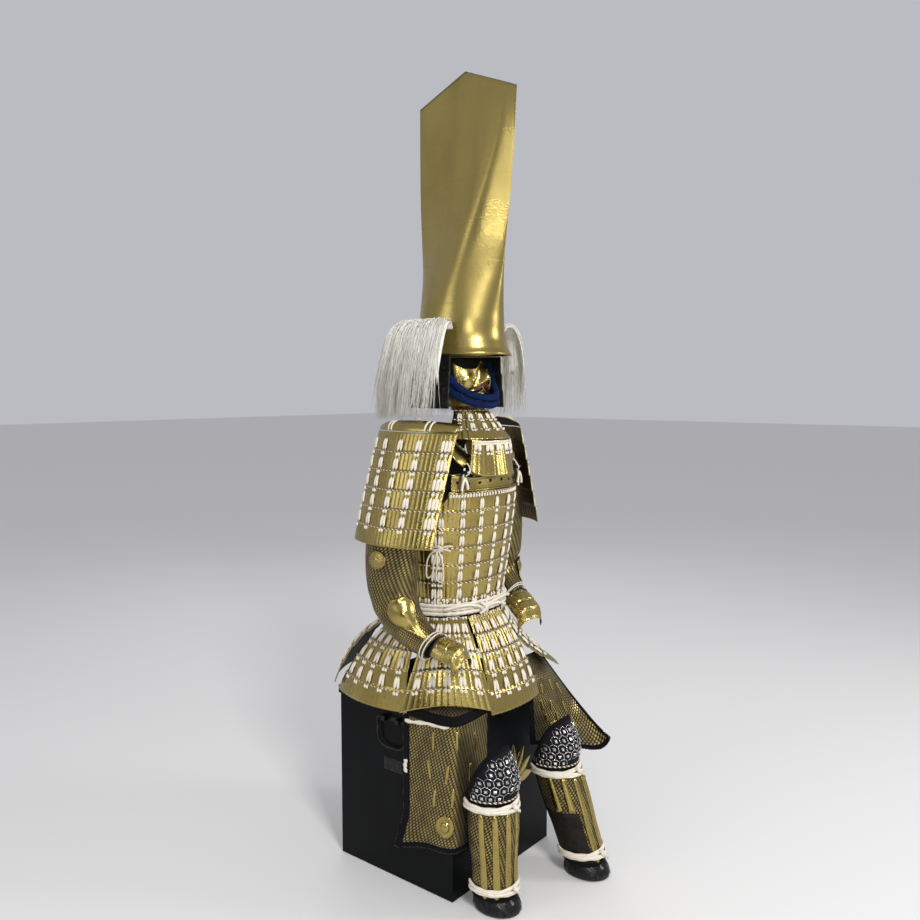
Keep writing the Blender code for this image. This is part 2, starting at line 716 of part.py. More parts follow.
def hand_guard_surface(arm):
    """The plate over the back of the hand: an arch that widens at the knuckles and curls down there."""
    start, end = np.array(arm.hand_start), np.array(arm.hand_end)
    along = (end - start) / np.linalg.norm(end - start)
    level = np.cross(along, (0.0, 0.0, 1.0))
    level /= np.linalg.norm(level)
    up = np.cross(level, along)

    def surface(u, v):
        angle = np.radians(u * 98.0)
        width = 0.0385 + 0.006 * np.sin(np.pi * np.clip(v, 0, 1))
        rise = (0.036 - 0.004 * v) * np.cos(angle) - 0.020 * ease((v - 0.72) / 0.28)
        place = start + (end - start) * v[..., None]
        return place + level * (width * np.sin(angle))[..., None] + up * rise[..., None]

    return surface


def build_hand_guards():
    for arm in ARMS:
        u, v = grid(6, 9)
        points = hand_guard_surface(arm)(u, v)[:, ::-1]
        shell(f"hand_guard_{arm.side}", points, "gold_leaf")


# The thigh guards


THIGH_PLAN = (
    (-0.2400, -0.0560),
    (-0.2400, -0.0980),
    (-0.2400, -0.1450),
    (-0.2390, -0.1850),
    (-0.2280, -0.2150),
    (-0.1980, -0.2250),
    (-0.1550, -0.2235),
    (-0.1200, -0.2205),
    (-0.0900, -0.2190),
)
ThighDrop = namedtuple("ThighDrop", "v inside z")
THIGH_DROP = (
    ThighDrop(0.00, 1.00, 0.4925),
    ThighDrop(0.08, 0.50, 0.4900),
    ThighDrop(0.14, 0.12, 0.4860),
    ThighDrop(0.20, 0.00, 0.4740),
    ThighDrop(1.00, 0.00, 0.1400),
)


def thigh_guard_right_surface(u, v):
    """A panel draped over the chest's front right corner: a chord under the skirt, then a curve."""
    key = np.linspace(-1, 1, len(THIGH_PLAN))
    plan = np.array(THIGH_PLAN)
    places = column(THIGH_DROP, "v")
    inside = smooth(v, places, column(THIGH_DROP, "inside")) * (v < 0.2)
    z = np.interp(v, places, column(THIGH_DROP, "z")) + 0.012 * u * (v > 0.2) * v
    share = (u + 1) / 2
    chord_x = plan[0, 0] + (plan[-1, 0] - plan[0, 0]) * share
    chord_y = plan[0, 1] + (plan[-1, 1] - plan[0, 1]) * share
    x = smooth(u, key, plan[:, 0]) * (1 - inside) + chord_x * inside
    y = smooth(u, key, plan[:, 1]) * (1 - inside) + chord_y * inside
    flare = 0.016 * ease((v - 0.80) / 0.2) * ease((-0.5 - u) / 0.5)
    return stack(x - flare, y + flare, z - flare)


def thigh_guard_left_surface(u, v):
    """A panel from the lap down behind the left knee and out past it, with a rounded outer corner."""
    inner = stack(0.080 + 0.020 * v, -0.160 - 0.060 * ease(v / 0.25), 0.546 - 0.228 * v)
    outer = stack(0.2450 + 0.085 * v, -0.146 - 0.209 * v, 0.537 - 0.291 * v)
    share = ((u + 1) / 2)[..., None]
    corner = 0.060 * np.clip(u, 0, 1) ** 5 * np.clip(v, 0, 1) ** 3
    belly = 0.018 * np.sin(np.pi * (u + 1) / 2) * np.cos(np.pi * np.clip(v * 1.1 - 0.1, 0, 1))
    return inner * (1 - share) + outer * share + stack(-0.4 * corner, -belly, corner + 0.4 * np.abs(belly))


def build_thigh_guards():
    down = [0.0, 0.08, 0.14, 0.20, 0.30, 0.50, 0.75, 0.88, 1.0]
    v, u = np.meshgrid(down, np.linspace(-1, 1, 19), indexing="ij")
    shell("thigh_guard_right", thigh_guard_right_surface(u, v), "gold_mail", CLOTH)
    u, v = grid(10, 11)
    shell("thigh_guard_left", thigh_guard_left_surface(u, v), "gold_mail", CLOTH)


# The legs: each is a shin guard, knee guard, two ties and a shoe

Leg = namedtuple("Leg", "side top_x top_y foot_x foot_y")
LEGS = (
    Leg("right", -0.153, -0.2740, -0.154, -0.2860),
    Leg("left", 0.120, -0.2840, 0.130, -0.3760),
)
SHIN_TOP_Z = 0.290
SHIN_FOOT_Z = 0.039
SHIN_TOP_RADIUS = 0.0610
SHIN_FOOT_RADIUS = 0.0550
SHIN_OPEN = 130.0
KNEE_TOP_Z = 0.410
SHOE_LENGTH = 0.130
SHOE_WIDTH = 0.106
SHOE_RISE = 0.046
ANKLE_HALF = 0.042


def leg_centre(leg, z):
    share = (SHIN_TOP_Z - z) / (SHIN_TOP_Z - SHIN_FOOT_Z)
    return leg.top_x + (leg.foot_x - leg.top_x) * share, leg.top_y + (leg.foot_y - leg.top_y) * share


def shin_surface(leg, out=0.0):
    def surface(u, v):
        z = SHIN_TOP_Z + (SHIN_FOOT_Z - SHIN_TOP_Z) * v
        x, y = leg_centre(leg, z)
        calf = 0.0040 * np.sin(np.pi * np.clip(v * 1.5, 0, 1))
        radius = SHIN_TOP_RADIUS + (SHIN_FOOT_RADIUS - SHIN_TOP_RADIUS) * v + calf + out
        angle = np.radians(u * SHIN_OPEN)
        return stack(x + radius * np.sin(angle), y - radius * 1.04 * np.cos(angle), z)

    return surface


def knee_surface(leg):
    """The knee guard: a curved shield over the knee, tall in front and sloping down to its sides."""

    def surface(u, v):
        top = KNEE_TOP_Z - 0.100 * np.abs(u) ** 2.2
        z = top + (SHIN_TOP_Z + CLEAR - top) * v
        x, y = leg_centre(leg, SHIN_TOP_Z)
        swell = 0.010 * np.sin(np.pi * np.clip((KNEE_TOP_Z - z) / (KNEE_TOP_Z - SHIN_TOP_Z), 0, 1) * 0.9)
        radius = SHIN_TOP_RADIUS + swell
        back = 0.030 * ease((z - SHIN_TOP_Z - 0.03) / 0.09)
        angle = np.radians(u * 104.0)
        return stack(x + radius * np.sin(angle), y - radius * 1.04 * np.cos(angle) + back, z)

    return surface


def shoe_rings(leg, columns, rows):
    """A short rounded boot: rings from its ankle opening out over the toe and in under the flat sole."""
    turn = np.linspace(0, 2 * math.pi, columns, endpoint=False)
    middle = leg.foot_y - 0.010
    rings = []
    for t in np.linspace(0, 1, rows):
        share = math.sin(t * math.pi / 2) if t < 1 else 1.0
        z = SHOE_RISE * (1 - t ** 1.2)
        length = ANKLE_HALF + (SHOE_LENGTH / 2 - ANKLE_HALF) * share
        width = ANKLE_HALF * 0.95 + (SHOE_WIDTH / 2 - ANKLE_HALF * 0.95) * share
        y = (leg.foot_y + 0.004) * (1 - share) + middle * share
        ring_x, ring_y = leg.foot_x + width * np.sin(turn), y - length * np.cos(turn)
        rings.append(stack(ring_x, ring_y, np.full(columns, z)))
    edge = rings[-1].copy()
    centre = np.array([leg.foot_x, middle, 0.0])
    rings += [centre + (edge - centre) * 0.93, centre + (edge - centre) * 0.5]
    rings[-3][:, 2] = 0.006
    rings[-2][:, 2] = 0.0
    rings[-1][:, 2] = 0.0
    return np.array(rings)


def build_shoe(leg):
    points = shoe_rings(leg, 16, 5)
    rows, columns = points.shape[:2]
    faces = [list(map(int, f)) for f in grid_faces(rows, columns, True).reshape(-1, 4)]
    faces.append([(rows - 1) * columns + j for j in reversed(range(columns))])
    mesh = bpy.data.meshes.new(f"shoe_{leg.side}")
    mesh.from_pydata(points.reshape(-1, 3).tolist(), [], faces)
    mesh.shade_smooth()
    obj = add_object(f"shoe_{leg.side}", mesh, "black_fur")
    wall = obj.modifiers.new("Wall", "SOLIDIFY")
    wall.thickness = 0.003
    wall.offset = -1.0


def build_legs():
    for leg in LEGS:
        u, v = grid(6, 13)
        shell(f"shin_guard_{leg.side}", shin_surface(leg)(u, v), "gold_mail", CLOTH)
        u, v = grid(5, 13)
        shell(f"knee_guard_{leg.side}", knee_surface(leg)(u, v), "knee_brocade", 0.004)
        for place, share in (("upper", 0.075), ("lower", 0.905)):
            tie = shin_surface(leg, 0.0054)(np.linspace(-1.0, 1.0, 17), np.full(17, share))
            tube(f"shin_tie_{place}_{leg.side}", tie, 0.0042, "white_cord", resolution=1)
        build_shoe(leg)


# The armour chest and its carrying handles


def build_chest():
    """An open box of boards, and a shallow lid whose sides hang down over its rim."""
    half_x, half_y = CHEST_WIDTH / 2, CHEST_DEPTH / 2
    inset = LID_WALL + CLEAR
    rim = CHEST_HEIGHT - LID_WALL - CLEAR
    low, high = (-half_x + inset, -half_y + inset, 0.0), (half_x - inset, half_y - inset, rim)
    open_box("chest_body", low, high, "black_lacquer", CHEST_WALL, 1)
    low, high = (-half_x, -half_y, CHEST_HEIGHT - LID_HEIGHT), (half_x, half_y, CHEST_HEIGHT)
    open_box("chest_lid", low, high, "black_lacquer", LID_WALL, -1)
    for sign, side in ((-1, "right"), (1, "left")):
        build_handle(sign, side, half_x - inset)


def build_handle(sign, side, wall_x):
    axis_x = sign * (wall_x + HANDLE_STANDOFF)
    half = HANDLE_SPAN / 2
    ear_in, ear_out = half - 0.024 - LUG_SIZE / 2, half - 0.024 + LUG_SIZE / 2
    near, plate, far = wall_x + CLEAR, wall_x + 0.003, wall_x + 0.0155
    outline = [(near, -ear_out), (far, -ear_out), (far, -ear_in), (plate, -ear_in)]
    outline += [(plate, ear_in), (far, ear_in), (far, ear_out), (near, ear_out)]
    bracket = prism(f"handle_bracket_{side}", [(sign * x, y) for x, y in outline], sign > 0)
    drill(bracket, axis_x)
    bottom = HANDLE_PIVOT_Z - HANDLE_DROP
    corner = 0.030
    arc = [math.radians(a) for a in range(0, 91, 30)]
    end = [(ear_in + 0.001, HANDLE_PIVOT_Z), (half - 0.005, HANDLE_PIVOT_Z), (half, HANDLE_PIVOT_Z - 0.005)]
    end += [(half - corner + corner * math.cos(a), bottom + corner - corner * math.sin(a)) for a in arc]
    path = [(axis_x, y, z) for y, z in end + [(-y, z) for y, z in reversed(end)]]
    handle = tube(f"handle_{side}", path, HANDLE_RADIUS, "black_iron", resolution=1)
    for point in handle.data.splines[0].points:
        point.co = (point.co[0] - axis_x, point.co[1], point.co[2] - HANDLE_PIVOT_Z, 1.0)
    handle.location = (axis_x, 0.0, HANDLE_PIVOT_Z)


def prism(name, outline, forward):
    """The handle's bracket: a plate with an ear at each end, drawn in plan and carried up to its height."""
    count = len(outline)
    low, high = HANDLE_PIVOT_Z - LUG_SIZE / 2, HANDLE_PIVOT_Z + LUG_SIZE / 2
    points = [(x, y, z) for z in (low, high) for x, y in outline]
    faces = [[i, (i + 1) % count, (i + 1) % count + count, i + count] for i in range(count)]
    faces += [list(range(count, 2 * count)), list(reversed(range(count)))]
    mesh = bpy.data.meshes.new(name)
    mesh.from_pydata(points, [], faces if forward else [face[::-1] for face in faces])
    return add_object(name, mesh, "black_iron")


def drill(bracket, x):
    """The handle's ends turn in one hole through both ears, along Y."""
    bpy.ops.mesh.primitive_cylinder_add(
        vertices=16,
        radius=HANDLE_RADIUS + PIVOT_PLAY,
        depth=HANDLE_SPAN * 2,
        location=(x, 0, HANDLE_PIVOT_Z),
        rotation=(math.pi / 2, 0, 0),
    )
    cutter = bpy.context.object
    cutter.name = f"cut_{bracket.name}"
    cutter.display_type = "WIRE"
    cutter.hide_render = True
    for owner in list(cutter.users_collection):
        owner.objects.unlink(cutter)
    CUTTERS.objects.link(cutter)
    hole = bracket.modifiers.new("Pivot", "BOOLEAN")
    hole.object = cutter
    hole.operation = "DIFFERENCE"


clear_scene()
ARMOUR = bpy.data.collections.new("seated_armour")
CUTTERS = bpy.data.collections.new("cutters")
bpy.context.scene.collection.children.link(ARMOUR)
bpy.context.scene.collection.children.link(CUTTERS)

build_chest()
build_legs()
build_thigh_guards()
build_skirt()
build_cuirass()
build_waist_cords()
build_shoulders()
build_shoulder_guards()
build_sleeves()
build_arm_fittings()
build_hand_guards()
build_mask()
build_helmet()
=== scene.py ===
"""Looks of a gilt samurai armour on its black chest, laid out as an add-on and run as a script.

Units are metres, +Z is up and the armour faces -Y. Each surface is a function of u, which runs
across it from -1 to 1, and v, which runs down it from 0 to 1.
"""

import json
import math
import sys
from collections import namedtuple

import bpy
import numpy as np
from bpy.props import FloatProperty, FloatVectorProperty, IntProperty, PointerProperty
from mathutils import Vector
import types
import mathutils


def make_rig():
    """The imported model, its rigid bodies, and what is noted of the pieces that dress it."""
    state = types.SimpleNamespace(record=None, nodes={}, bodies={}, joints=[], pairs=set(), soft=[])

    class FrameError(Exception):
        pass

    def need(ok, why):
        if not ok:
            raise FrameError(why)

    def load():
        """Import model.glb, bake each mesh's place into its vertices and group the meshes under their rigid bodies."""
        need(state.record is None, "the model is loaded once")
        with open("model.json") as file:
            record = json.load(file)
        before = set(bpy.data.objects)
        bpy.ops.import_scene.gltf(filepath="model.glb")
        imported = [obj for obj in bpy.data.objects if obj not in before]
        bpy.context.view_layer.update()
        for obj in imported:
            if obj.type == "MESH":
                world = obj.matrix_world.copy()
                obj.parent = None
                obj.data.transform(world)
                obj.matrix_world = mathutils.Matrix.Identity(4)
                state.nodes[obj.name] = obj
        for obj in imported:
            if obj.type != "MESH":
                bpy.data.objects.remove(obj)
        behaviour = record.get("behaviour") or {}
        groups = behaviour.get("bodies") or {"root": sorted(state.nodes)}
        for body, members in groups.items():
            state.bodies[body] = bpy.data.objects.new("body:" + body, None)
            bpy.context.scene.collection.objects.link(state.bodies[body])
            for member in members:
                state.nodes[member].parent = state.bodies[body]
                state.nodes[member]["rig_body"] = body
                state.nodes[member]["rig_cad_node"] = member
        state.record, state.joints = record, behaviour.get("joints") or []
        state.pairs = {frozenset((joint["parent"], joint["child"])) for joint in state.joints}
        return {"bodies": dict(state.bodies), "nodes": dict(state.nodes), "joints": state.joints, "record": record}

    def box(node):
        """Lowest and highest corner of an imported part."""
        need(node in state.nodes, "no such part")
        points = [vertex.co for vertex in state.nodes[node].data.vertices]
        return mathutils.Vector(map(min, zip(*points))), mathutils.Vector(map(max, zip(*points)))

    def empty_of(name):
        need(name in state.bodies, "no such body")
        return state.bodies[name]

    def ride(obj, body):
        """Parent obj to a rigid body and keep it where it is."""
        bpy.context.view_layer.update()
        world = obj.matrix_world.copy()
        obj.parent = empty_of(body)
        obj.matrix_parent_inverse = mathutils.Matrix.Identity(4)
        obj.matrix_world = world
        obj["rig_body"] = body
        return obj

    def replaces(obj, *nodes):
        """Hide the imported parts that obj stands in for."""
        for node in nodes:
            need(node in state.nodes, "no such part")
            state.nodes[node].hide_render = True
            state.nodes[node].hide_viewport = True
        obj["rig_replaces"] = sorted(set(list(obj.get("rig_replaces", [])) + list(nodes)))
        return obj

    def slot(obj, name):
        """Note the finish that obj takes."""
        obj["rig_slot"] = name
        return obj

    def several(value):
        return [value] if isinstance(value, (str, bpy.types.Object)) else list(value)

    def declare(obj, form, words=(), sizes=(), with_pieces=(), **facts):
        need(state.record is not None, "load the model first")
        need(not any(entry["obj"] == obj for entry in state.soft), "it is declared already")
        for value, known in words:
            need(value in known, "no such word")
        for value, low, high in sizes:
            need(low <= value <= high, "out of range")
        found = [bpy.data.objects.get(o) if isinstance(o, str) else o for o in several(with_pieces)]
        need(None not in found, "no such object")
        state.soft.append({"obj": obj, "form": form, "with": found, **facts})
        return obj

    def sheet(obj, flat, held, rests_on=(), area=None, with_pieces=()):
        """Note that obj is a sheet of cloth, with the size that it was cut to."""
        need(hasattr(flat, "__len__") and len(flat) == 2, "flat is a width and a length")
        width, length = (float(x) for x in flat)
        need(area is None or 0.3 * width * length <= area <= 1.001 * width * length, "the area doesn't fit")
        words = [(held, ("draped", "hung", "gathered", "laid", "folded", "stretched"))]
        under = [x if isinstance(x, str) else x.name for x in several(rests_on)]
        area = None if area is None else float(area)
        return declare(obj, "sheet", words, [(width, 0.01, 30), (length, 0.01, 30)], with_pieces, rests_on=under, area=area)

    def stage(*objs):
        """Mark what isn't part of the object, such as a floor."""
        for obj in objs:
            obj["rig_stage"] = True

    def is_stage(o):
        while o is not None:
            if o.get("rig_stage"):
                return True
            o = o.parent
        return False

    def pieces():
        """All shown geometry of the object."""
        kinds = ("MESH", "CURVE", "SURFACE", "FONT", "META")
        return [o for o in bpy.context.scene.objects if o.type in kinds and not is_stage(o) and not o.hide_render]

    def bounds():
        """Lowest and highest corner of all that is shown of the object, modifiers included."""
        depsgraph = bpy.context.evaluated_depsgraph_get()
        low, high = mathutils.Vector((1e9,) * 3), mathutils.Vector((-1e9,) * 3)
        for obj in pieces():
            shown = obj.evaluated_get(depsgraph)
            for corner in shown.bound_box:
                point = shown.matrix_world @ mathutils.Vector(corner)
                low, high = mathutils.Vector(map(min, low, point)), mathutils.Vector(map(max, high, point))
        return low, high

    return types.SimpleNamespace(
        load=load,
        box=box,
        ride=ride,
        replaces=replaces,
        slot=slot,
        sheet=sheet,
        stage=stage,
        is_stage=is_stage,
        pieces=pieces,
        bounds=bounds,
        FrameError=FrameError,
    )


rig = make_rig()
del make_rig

bl_info = {
    "name": "Seated gilt armour",
    "version": (1, 0, 0),
    "blender": (4, 5, 0),
    "location": "3D View > Sidebar > Armour",
    "description": "Dresses the packed armour in lames, lacing, mail, hair and lacquer",
    "category": "Object",
}

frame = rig.load()
CAD_LOW, CAD_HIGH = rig.bounds()

LAME_STEP = 0.0030
LAME_LEDGE = 0.0030
PLATE = 0.0020
CLOTH = 0.0025
WAIST_Z = 0.700
CHEST_LINE_Z = 1.032
BREAST_TOP_Z = 1.077
SIDE_TOP_Z = 0.930
SKIRT_TOP_Z = WAIST_Z - 0.0038
SODE_WIDTH = 0.262
SODE_HEIGHT = 0.276
SODE_CURVE_RADIUS = 0.235
SODE_FLARE = 0.084
SODE_TURN = math.asin(0.5 * SODE_WIDTH / SODE_CURVE_RADIUS)
HELMET_MID_Y = -0.057
HELMET_PEAK = 0.066
HELMET_WALL = 0.004
DOME_TOP_Z = 1.520
FULL_REACH = 89.9
BREAST_CUT = 36.0
BACK_CUT = 34.0
BACK_RISE = 0.016
SHIN_TOP_Z = 0.290
SHIN_FOOT_Z = 0.039
KNEE_TOP_Z = 0.410
PLATE_OUT = 0.0025
BACK_TOP_Z = 1.118
COLLAR_TOP_Z = 1.1995
COLLAR_FOOT_Z = 1.1610
NECK_GUARD_FOOT_Z = 1.246
MASK_TOP_Z = 1.349
MASK_FOOT_Z = 1.240
THROAT_TOP_Z = 1.239
THROAT_FOOT_Z = 1.166
FLAP_TOP_Z = 1.1652
FLAP_FOOT_Z = 1.070
NECK_Y = -0.066
THROAT_HEIGHT = 0.12
CUIRASS_LAMES = 7
TASSET_LAMES = 5
SODE_LAMES = 6
NECK_LAMES = 3
NECK_GUARD_HEIGHT = 0.15
TASSET_HEIGHT = 0.26
WHOLE = 2 * math.pi
EDGE_TURN = 0.0125
TWO_PLY = {"sides": 6, "lobes": 2, "twist": WHOLE / EDGE_TURN}
THREE_PLY = {"sides": 9, "lobes": 3}
SLEEVE_CUT = {"right": (0.420, 0.560), "left": (0.420, 0.530)}
SLEEVE_AREA = {"right": 0.20, "left": 0.19}

Section = namedtuple("Section", "z half_width half_depth centre_y")
Ring = namedtuple("Ring", "x y z half_width half_depth lean")
Arm = namedtuple("Arm", "side sign guard_x guard_y guard_z guard_turn rings hand_start hand_end")
HelmetRow = namedtuple("HelmetRow", "z half_width front_y rear_y blade")
Tasset = namedtuple("Tasset", "name around spread foot_x foot_y foot_z half_width facing sag bulge droop")
Leg = namedtuple("Leg", "side top_x top_y foot_x foot_y")

TORSO = (
    Section(0.690, 0.146, 0.110, -0.030),
    Section(0.740, 0.147, 0.110, -0.032),
    Section(0.850, 0.158, 0.116, -0.040),
    Section(0.950, 0.167, 0.121, -0.047),
    Section(1.030, 0.170, 0.121, -0.052),
    Section(1.080, 0.162, 0.113, -0.055),
    Section(1.140, 0.138, 0.098, -0.056),
)
HELMET = (
    HelmetRow(1.384, 0.1130, -0.2010, 0.0870, 0.00),
    HelmetRow(1.395, 0.1090, -0.1930, 0.0800, 0.00),
    HelmetRow(1.420, 0.1030, -0.1820, 0.0730, 0.00),
    HelmetRow(1.480, 0.0990, -0.1790, 0.0690, 0.05),
    HelmetRow(1.560, 0.0860, -0.1870, 0.0740, 0.35),
    HelmetRow(1.660, 0.0640, -0.2000, 0.0820, 0.80),
    HelmetRow(1.780, 0.0430, -0.2140, 0.0880, 1.00),
    HelmetRow(1.920, 0.0240, -0.2260, 0.0900, 1.00),
    HelmetRow(2.020, 0.0120, -0.2320, 0.0900, 1.00),
    HelmetRow(2.055, 0.0075, -0.2340, 0.0900, 1.00),
)
TASSETS = (
    Tasset("front", 0, 25.0, 0.011, -0.2520, 0.4600, 0.110, 0, 0.018, 0.012, 0.0),
    Tasset("front_right", -51, 23.5, -0.2060, -0.1760, 0.5010, 0.121, -50, 0.016, 0.016, 0.022),
    Tasset("side_right", -101, 24.0, -0.2640, 0.0650, 0.4720, 0.138, -95, 0.030, 0.026, 0.0),
    Tasset("back_right", -153, 25.5, -0.1330, 0.2780, 0.4900, 0.122, -153, 0.020, 0.028, 0.0),
    Tasset("back_left", 153, 25.5, 0.1330, 0.2780, 0.4900, 0.122, 153, 0.020, 0.028, 0.0),
    Tasset("side_left", 101, 23.5, 0.2700, 0.0550, 0.4900, 0.124, 97, 0.030, 0.026, 0.0),
    Tasset("front_left", 51, 23.5, 0.2830, -0.1550, 0.5150, 0.098, 58, 0.012, -0.012, 0.0),
)
RIGHT_RINGS = (
    Ring(0.2000, -0.0350, 1.1150, 0.0280, 0.062, 0),
    Ring(0.2150, -0.0330, 1.0800, 0.0400, 0.074, 0),
    Ring(0.2330, -0.0320, 1.0000, 0.0480, 0.080, 0),
    Ring(0.2450, -0.0280, 0.9000, 0.0510, 0.081, -2),
    Ring(0.2530, -0.0320, 0.8200, 0.0510, 0.076, -6),
    Ring(0.2570, -0.0490, 0.7560, 0.0490, 0.064, -26),
    Ring(0.2540, -0.0840, 0.7080, 0.0440, 0.052, -46),
    Ring(0.2460, -0.1230, 0.6760, 0.0380, 0.041, -56),
    Ring(0.2360, -0.1580, 0.6560, 0.0330, 0.035, -60),
)
LEFT_RINGS = (
    Ring(0.1950, -0.0150, 1.1150, 0.0280, 0.062, 0),
    Ring(0.2080, -0.0120, 1.0800, 0.0390, 0.074, 0),
    Ring(0.2230, -0.0060, 1.0000, 0.0450, 0.084, 0),
    Ring(0.2380, 0.0030, 0.9000, 0.0480, 0.088, -2),
    Ring(0.2480, 0.0120, 0.8200, 0.0500, 0.086, -6),
    Ring(0.2500, 0.0080, 0.7700, 0.0490, 0.074, -22),
    Ring(0.2430, -0.0180, 0.7320, 0.0440, 0.058, -42),
    Ring(0.2320, -0.0480, 0.7100, 0.0370, 0.045, -52),
    Ring(0.2200, -0.0760, 0.6900, 0.0330, 0.036, -54),
)
ARMS = (
    Arm("right", -1.0, 0.238, -0.074, 1.187, 0.0, RIGHT_RINGS,
        (-0.2345, -0.1690, 0.6530), (-0.2190, -0.2460, 0.6290)),
    Arm("left", 1.0, 0.230, -0.012, 1.187, math.radians(12), LEFT_RINGS,
        (0.2190, -0.0830, 0.6860), (0.1960, -0.1610, 0.6335)),
)
LEGS = (
    Leg("right", -0.153, -0.2740, -0.154, -0.2860),
    Leg("left", 0.120, -0.2840, 0.130, -0.3760),
)


class ArmourSizes(bpy.types.PropertyGroup):
    scale_pitch: FloatProperty(
        name="Scale width", description="Width of one scale of a lame", default=0.0125, unit="LENGTH")
    scale_relief: FloatProperty(
        name="Scale relief", description="Height of a scale's raised edge", default=0.0008, unit="LENGTH")
    lacing_gap: FloatProperty(
        name="Lacing gap", description="Distance between lacing columns", default=0.034, unit="LENGTH")
    lace_width: FloatProperty(
        name="Lace width", description="Width of one flat lace", default=0.0078, unit="LENGTH")
    mail_pitch: FloatProperty(
        name="Mail pitch", description="Distance between mail rings", default=0.0096, unit="LENGTH")
    hair_strands: IntProperty(name="Hair strands", description="Strands in the helmet's hair", default=2500)
    fur_tufts: IntProperty(name="Fur tufts", description="Tufts of fur on each shoe", default=1000)


class ArmourColours(bpy.types.PropertyGroup):
    gold: FloatVectorProperty(
        name="Gold", description="Bright gold leaf", subtype="COLOR", default=(0.42, 0.327, 0.106))
    old_gold: FloatVectorProperty(
        name="Old gold", description="Worn and shaded leaf", subtype="COLOR", default=(0.18, 0.118, 0.038))
    lacquer: FloatVectorProperty(
        name="Lacquer", description="Black lacquer", subtype="COLOR", default=(0.0035, 0.0040, 0.0045))
    navy: FloatVectorProperty(
        name="Navy", description="Chin cords and cloth edges", subtype="COLOR", default=(0.002, 0.016, 0.085))
    white: FloatVectorProperty(
        name="White", description="Lacing and cords", subtype="COLOR", default=(0.82, 0.755, 0.62))
    hair: FloatVectorProperty(
        name="Hair", description="White animal hair", subtype="COLOR", default=(0.80, 0.78, 0.70))
    brown: FloatVectorProperty(
        name="Brown", description="Moustache", subtype="COLOR", default=(0.12, 0.045, 0.02))


# Shader maths


class Term:
    """One socket of a material's tree. An expression on it adds Math nodes."""

    def __init__(self, paint, socket):
        self.paint = paint
        self.socket = socket

    def maths(self, operation, *values):
        return self.paint.node("ShaderNodeMath", {"operation": operation}, dict(enumerate(values)))

    def __add__(self, other):
        return self.maths("ADD", self, other)

    __radd__ = __add__

    def __mul__(self, other):
        return self.maths("MULTIPLY", self, other)

    __rmul__ = __mul__

    def __sub__(self, other):
        return self.maths("SUBTRACT", self, other)

    def __rsub__(self, other):
        return self.maths("SUBTRACT", other, self)

    def __truediv__(self, other):
        return self.maths("DIVIDE", self, other)

    def __pow__(self, other):
        return self.maths("POWER", self, other)

    def sine(self):
        return self.maths("SINE", self)

    def size(self):
        return self.maths("ABSOLUTE", self)

    def part(self):
        return self.maths("FRACT", self)

    def between(self, low, high):
        """0 below low, 1 above high and a smooth step between them."""
        sockets = {"Value": self, "From Min": low, "From Max": high}
        return self.paint.node("ShaderNodeMapRange", {"interpolation_type": "SMOOTHSTEP"}, sockets)


class Paint:
    """A material, with the few kinds of node that its pattern needs."""

    def __init__(self, name, roughness, metallic=0.0, coat=0.0, sheen=0.0, specular=0.5):
        self.material = bpy.data.materials.new(name)
        self.material.use_nodes = True
        self.tree = self.material.node_tree
        self.shader = self.tree.nodes["Principled BSDF"]
        fixed = {"Roughness": roughness, "Metallic": metallic, "Coat Weight": coat, "Coat Roughness": 0.25,
                 "Sheen Weight": sheen, "Specular IOR Level": specular}
        for key, value in fixed.items():
            self.shader.inputs[key].default_value = value

    def node(self, kind, settings=None, values=None, output=0):
        """Any other node: its settings are set first, then the values or links of its sockets."""
        made = self.tree.nodes.new(kind)
        for key, value in (settings or {}).items():
            setattr(made, key, value)
        for key, value in (values or {}).items():
            self.feed(made.inputs[key], value)
        return Term(self, made.outputs[output])

    def feed(self, socket, value):
        if isinstance(value, Term):
            self.tree.links.new(value.socket, socket)
        elif hasattr(value, "__len__") and len(value) == 3 and socket.type == "RGBA":
            socket.default_value = (*value, 1.0)
        else:
            socket.default_value = value

    def place(self):
        return self.node("ShaderNodeTexCoord", output="Object")

    def stretched(self, scale):
        return self.node("ShaderNodeMapping", None, {"Vector": self.place(), "Scale": scale})

    def pattern(self):
        """The distances across and down the piece, from its own UV map."""
        map_node = self.node("ShaderNodeUVMap", {"uv_map": "pattern"})
        across = self.node("ShaderNodeSeparateXYZ", None, {0: map_node}, "X")
        down = self.node("ShaderNodeSeparateXYZ", None, {0: map_node}, "Y")
        return across, down

    def noise(self, scale, detail=3.0, where=None):
        sockets = {"Vector": where or self.place(), "Scale": scale, "Detail": detail}
        return self.node("ShaderNodeTexNoise", None, sockets)

    def mix(self, share, first, second):
        return self.node("ShaderNodeMix", {"data_type": "RGBA"}, {0: share, 6: first, 7: second}, 2)

    def colour(self, value):
        self.feed(self.shader.inputs["Base Color"], value)

    def bump(self, height, distance):
        raised = self.node("ShaderNodeBump", None, {"Height": height, "Distance": distance})
        self.feed(self.shader.inputs["Normal"], raised)

    def rough(self, value):
        self.feed(self.shader.inputs["Roughness"], value)

    def metal(self, value):
        self.feed(self.shader.inputs["Metallic"], value)


PAINTS = {}
SLOTS = {
    "gold": "gold_leaf", "helmet_gold": "gold_leaf", "hammered_gold": "gold_leaf", "silver": "gold_leaf",
    "mail": "gold_mail", "leather": "gold_mail", "brocade": "knee_brocade", "fur": "black_fur",
    "hair": "white_hair", "moustache": "white_hair", "iron": "black_iron",
    "lacquer": "black_lacquer", "lining": "black_lacquer", "navy": "navy_cloth", "dark_cloth": "navy_cloth",
    "braid": "white_cord", "tie_cloth": "white_cord", "rope": "white_cord", "edge_cord": "white_cord",
}


def painted(name):
    if name not in PAINTS:
        PAINTS[name] = globals()["paint_" + name](bpy.context.scene.armour_colours).material
    return PAINTS[name]


